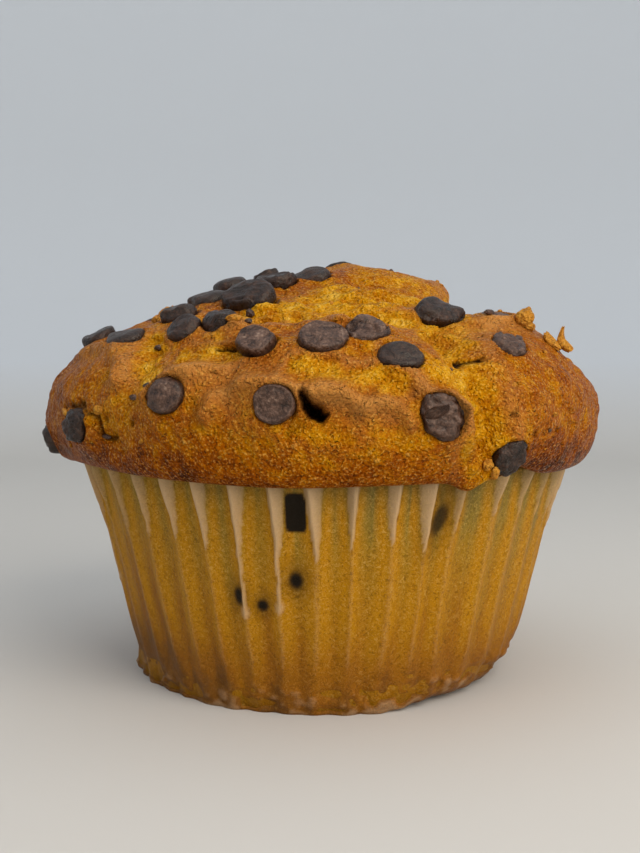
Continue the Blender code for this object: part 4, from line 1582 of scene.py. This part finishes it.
    def behind(self, points: Array) -> Array:
        """How dark the chips in the cake's side show through: full over a chip, blurred at its edge.

        Args:
            points: Places on the wall, in mm.

        Returns:
            A share from 0 to 1.
        """
        dark = np.zeros(points.shape[:-1])
        for seat in self.seats.values():
            local = seat.local(points)
            faint, clear = "right" in seat.node, "upper" in seat.node
            if faint:
                local = local / (1.25, 1.0, 1.0)
            power = 6.0 if clear else 2.0
            q = (np.abs(local[..., 0]) ** power + np.abs(local[..., 1]) ** power) ** (1.0 / power)
            low, high = (0.82, 0.98) if clear else (0.35, 1.15)
            shown = smoothstep(high, low, q) * (0.9 if faint else 1.0)
            if not clear:
                shown = np.maximum(shown, 0.34 * smoothstep(2.3, 0.7, q))
            dark = np.maximum(dark, shown * smoothstep(4.0, 2.5, np.abs(local[..., 2])))
        return dark

    def build(self) -> Piece:
        """Build the case: outer wall, rim, inner wall, and a base of two discs.

        Returns:
            The piece.
        """
        turn = np.arange(self.columns) * 360.0 / self.columns - 180.0
        levels = self.rim * np.linspace(0.0, 1.0, self.rows)
        azimuth, height = np.meshgrid(turn, levels)
        outer, looks = self.wall(azimuth, height)
        inner_levels = levels[::-6].copy()
        inner_levels[-1] = levels[1]
        inner, _ = self.wall(*np.meshgrid(turn, inner_levels))
        shrink = 1.0 - self.paper / np.hypot(inner[..., 0], inner[..., 1])
        inner[..., :2] *= shrink[..., None]
        inner[..., 2] = np.maximum(inner[..., 2], self.paper)
        under = [outer[0] * (s, s, lift) for s, lift in ((0.4, 0.0), (0.85, 0.0), (0.96, 0.45))]
        over = [inner[-1] * (s, s, 0.0) + (0, 0, self.paper) for s in (0.85, 0.4)]
        stack = np.stack([*under, *outer, *inner, *over])
        rings, size = stack.shape[:2]
        count, before = rings * size, len(under) * size
        points = np.concatenate([stack.reshape(-1, 3), [[0.0, 0.0, 0.0], [0.0, 0.0, self.paper]]])
        first = fan_faces(np.arange(size), count)[:, ::-1]
        last = fan_faces(np.arange(count - size, count), count + 1)
        piece = make_piece("paper_case_pleated", points, grid_faces(rings, size, True),
                           np.concatenate([first, last]))
        for name, values in looks.items():
            below, inside = self.hidden_height if name == "height" else (0.0, 0.0)
            rest = len(points) - before - values.size
            paint(piece, name, np.concatenate(
                [np.full(before, below), values.ravel(), np.full(rest, inside)]))
        piece.data.materials.append(self.material)
        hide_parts("paper_case")
        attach(piece, BODY)
        return piece


# ------------------------------------------------------------------ studio


@dataclass(frozen=True)
class Lamp:
    """A square area light: place and width in mm, power in watts and colour."""

    name: str
    place: Place
    size: float
    power: float
    colour: str


@dataclass
class Studio:
    """A pale round sweep, soft lights and the camera."""

    camera_height: float = 50.3
    camera_distance: float = 186.0
    camera_side: float = -0.84
    pitch: float = 4.12
    lens: float = 50.64
    sensor: float = 36.0
    floor_reach: float = 330.0
    sweep: float = 150.0
    wall_top: float = 420.0
    steps: int = 96
    aim: Place = (0.0, 0.0, 30.0)
    room: str = "dfe3e8"
    room_strength: float = 0.80
    lamps: tuple[Lamp, ...] = (
        Lamp("key", (225.0, -310.0, 255.0), 330.0, 1.62, "fff6ea"),
        Lamp("fill", (-330.0, -240.0, 240.0), 380.0, 0.22, "eef3ff"),
        Lamp("top", (60.0, -40.0, 480.0), 460.0, 0.28, "ffffff"),
    )

    def build(self) -> None:
        """Build floor, lights, world and camera."""
        self.backdrop()
        for lamp in self.lamps:
            self.light(lamp)
        world = bpy.data.worlds.new("soft_room")
        world.use_nodes = True
        tree = world.node_tree
        wire(tree, tree.nodes["Background"], {0: srgb(self.room), 1: self.room_strength})
        bpy.context.scene.world = world
        bpy.context.scene.view_settings.view_transform = "Standard"
        self.camera()

    def backdrop(self) -> None:
        """A turned sweep: flat floor, a quarter circle up, then a wall."""
        swing = np.linspace(0.0, math.pi / 2, 14)
        reach = self.floor_reach + self.sweep * np.sin(swing)
        radius = np.concatenate([[60.0, 160.0], reach, reach[-1:]])
        height = np.concatenate([[0.0, 0.0], self.sweep * (1 - np.cos(swing)), [self.wall_top]])
        points = np.concatenate([turned(radius, height, self.steps), [[0.0, 0.0, 0.0]]])
        quads = grid_faces(len(radius), self.steps, True)[:, ::-1]
        hub = fan_faces(np.arange(self.steps), len(points) - 1)
        floor = make_piece("studio_sweep", points, quads, hub)
        floor.data.materials.append(MattBoard().make())

    def light(self, lamp: Lamp) -> None:
        """A lamp that faces the muffin."""
        data = bpy.data.lights.new(lamp.name, "AREA")
        data.size = lamp.size * MM
        data.energy = lamp.power
        data.color = srgb(lamp.colour)[:3]
        item = add_object(lamp.name, data)
        away = np.array(lamp.place) - self.aim
        item.location = [c * MM for c in lamp.place]
        item.rotation_euler = (math.atan2(math.hypot(away[0], away[1]), away[2]), 0.0,
                               math.atan2(away[0], -away[1]))

    def camera(self) -> None:
        """The camera at the front, a little above the cap's rim."""
        data = bpy.data.cameras.new("camera")
        data.lens = self.lens
        data.sensor_width = self.sensor
        data.clip_start, data.clip_end = 0.01, 10.0
        item = add_object("camera", data)
        item.location = (self.camera_side * MM, -self.camera_distance * MM, self.camera_height * MM)
        item.rotation_euler = (math.radians(90.0 - self.pitch), 0.0, 0.0)
        bpy.context.scene.camera = item


# ------------------------------------------------------------------ assembly


def main() -> None:
    """Build every piece in order."""
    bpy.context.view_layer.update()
    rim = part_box("paper_case")[1].z / MM
    seats = {name: ChipSeat.read(name) for name in sorted(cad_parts) if name.startswith("chip_")}
    in_side = {name: seat for name, seat in seats.items() if name.startswith("chip_case")}
    on_cap = {name: seat for name, seat in seats.items() if name not in in_side}
    case = PaperCase(in_side, GreaseproofPaper().make(), rim=rim)
    crust, chocolate = BakedCrust().make(), DarkChocolate().make()
    cake = Cake(CapForm(rim=rim), on_cap, crust)
    chips = Chips(seats, chocolate)
    baked = Crumbs("crumbs_baked", "baked_crust", cake, crust, BAKED_BITS, scattered=90, seed=300,
                   looks={"bake": 0.27, "crumb": 0.6, "dry": 0.55, "pit_shade": 0.0})
    flakes = Crumbs("crumbs_chocolate", "dark_chocolate", cake, chocolate, CHOCOLATE_BITS,
                    scattered=24, seed=400, looks={"face": 0.8})
    pieces = [cake.build(case.wall_radius), case.build(), baked.build(), flakes.build()] + chips.build()
    for piece in pieces:
        LOG.info("%s: %d faces", piece.name, len(piece.data.polygons))
    Studio().build()


if __name__ == "__main__":
    logging.basicConfig(level=logging.INFO)
    main()
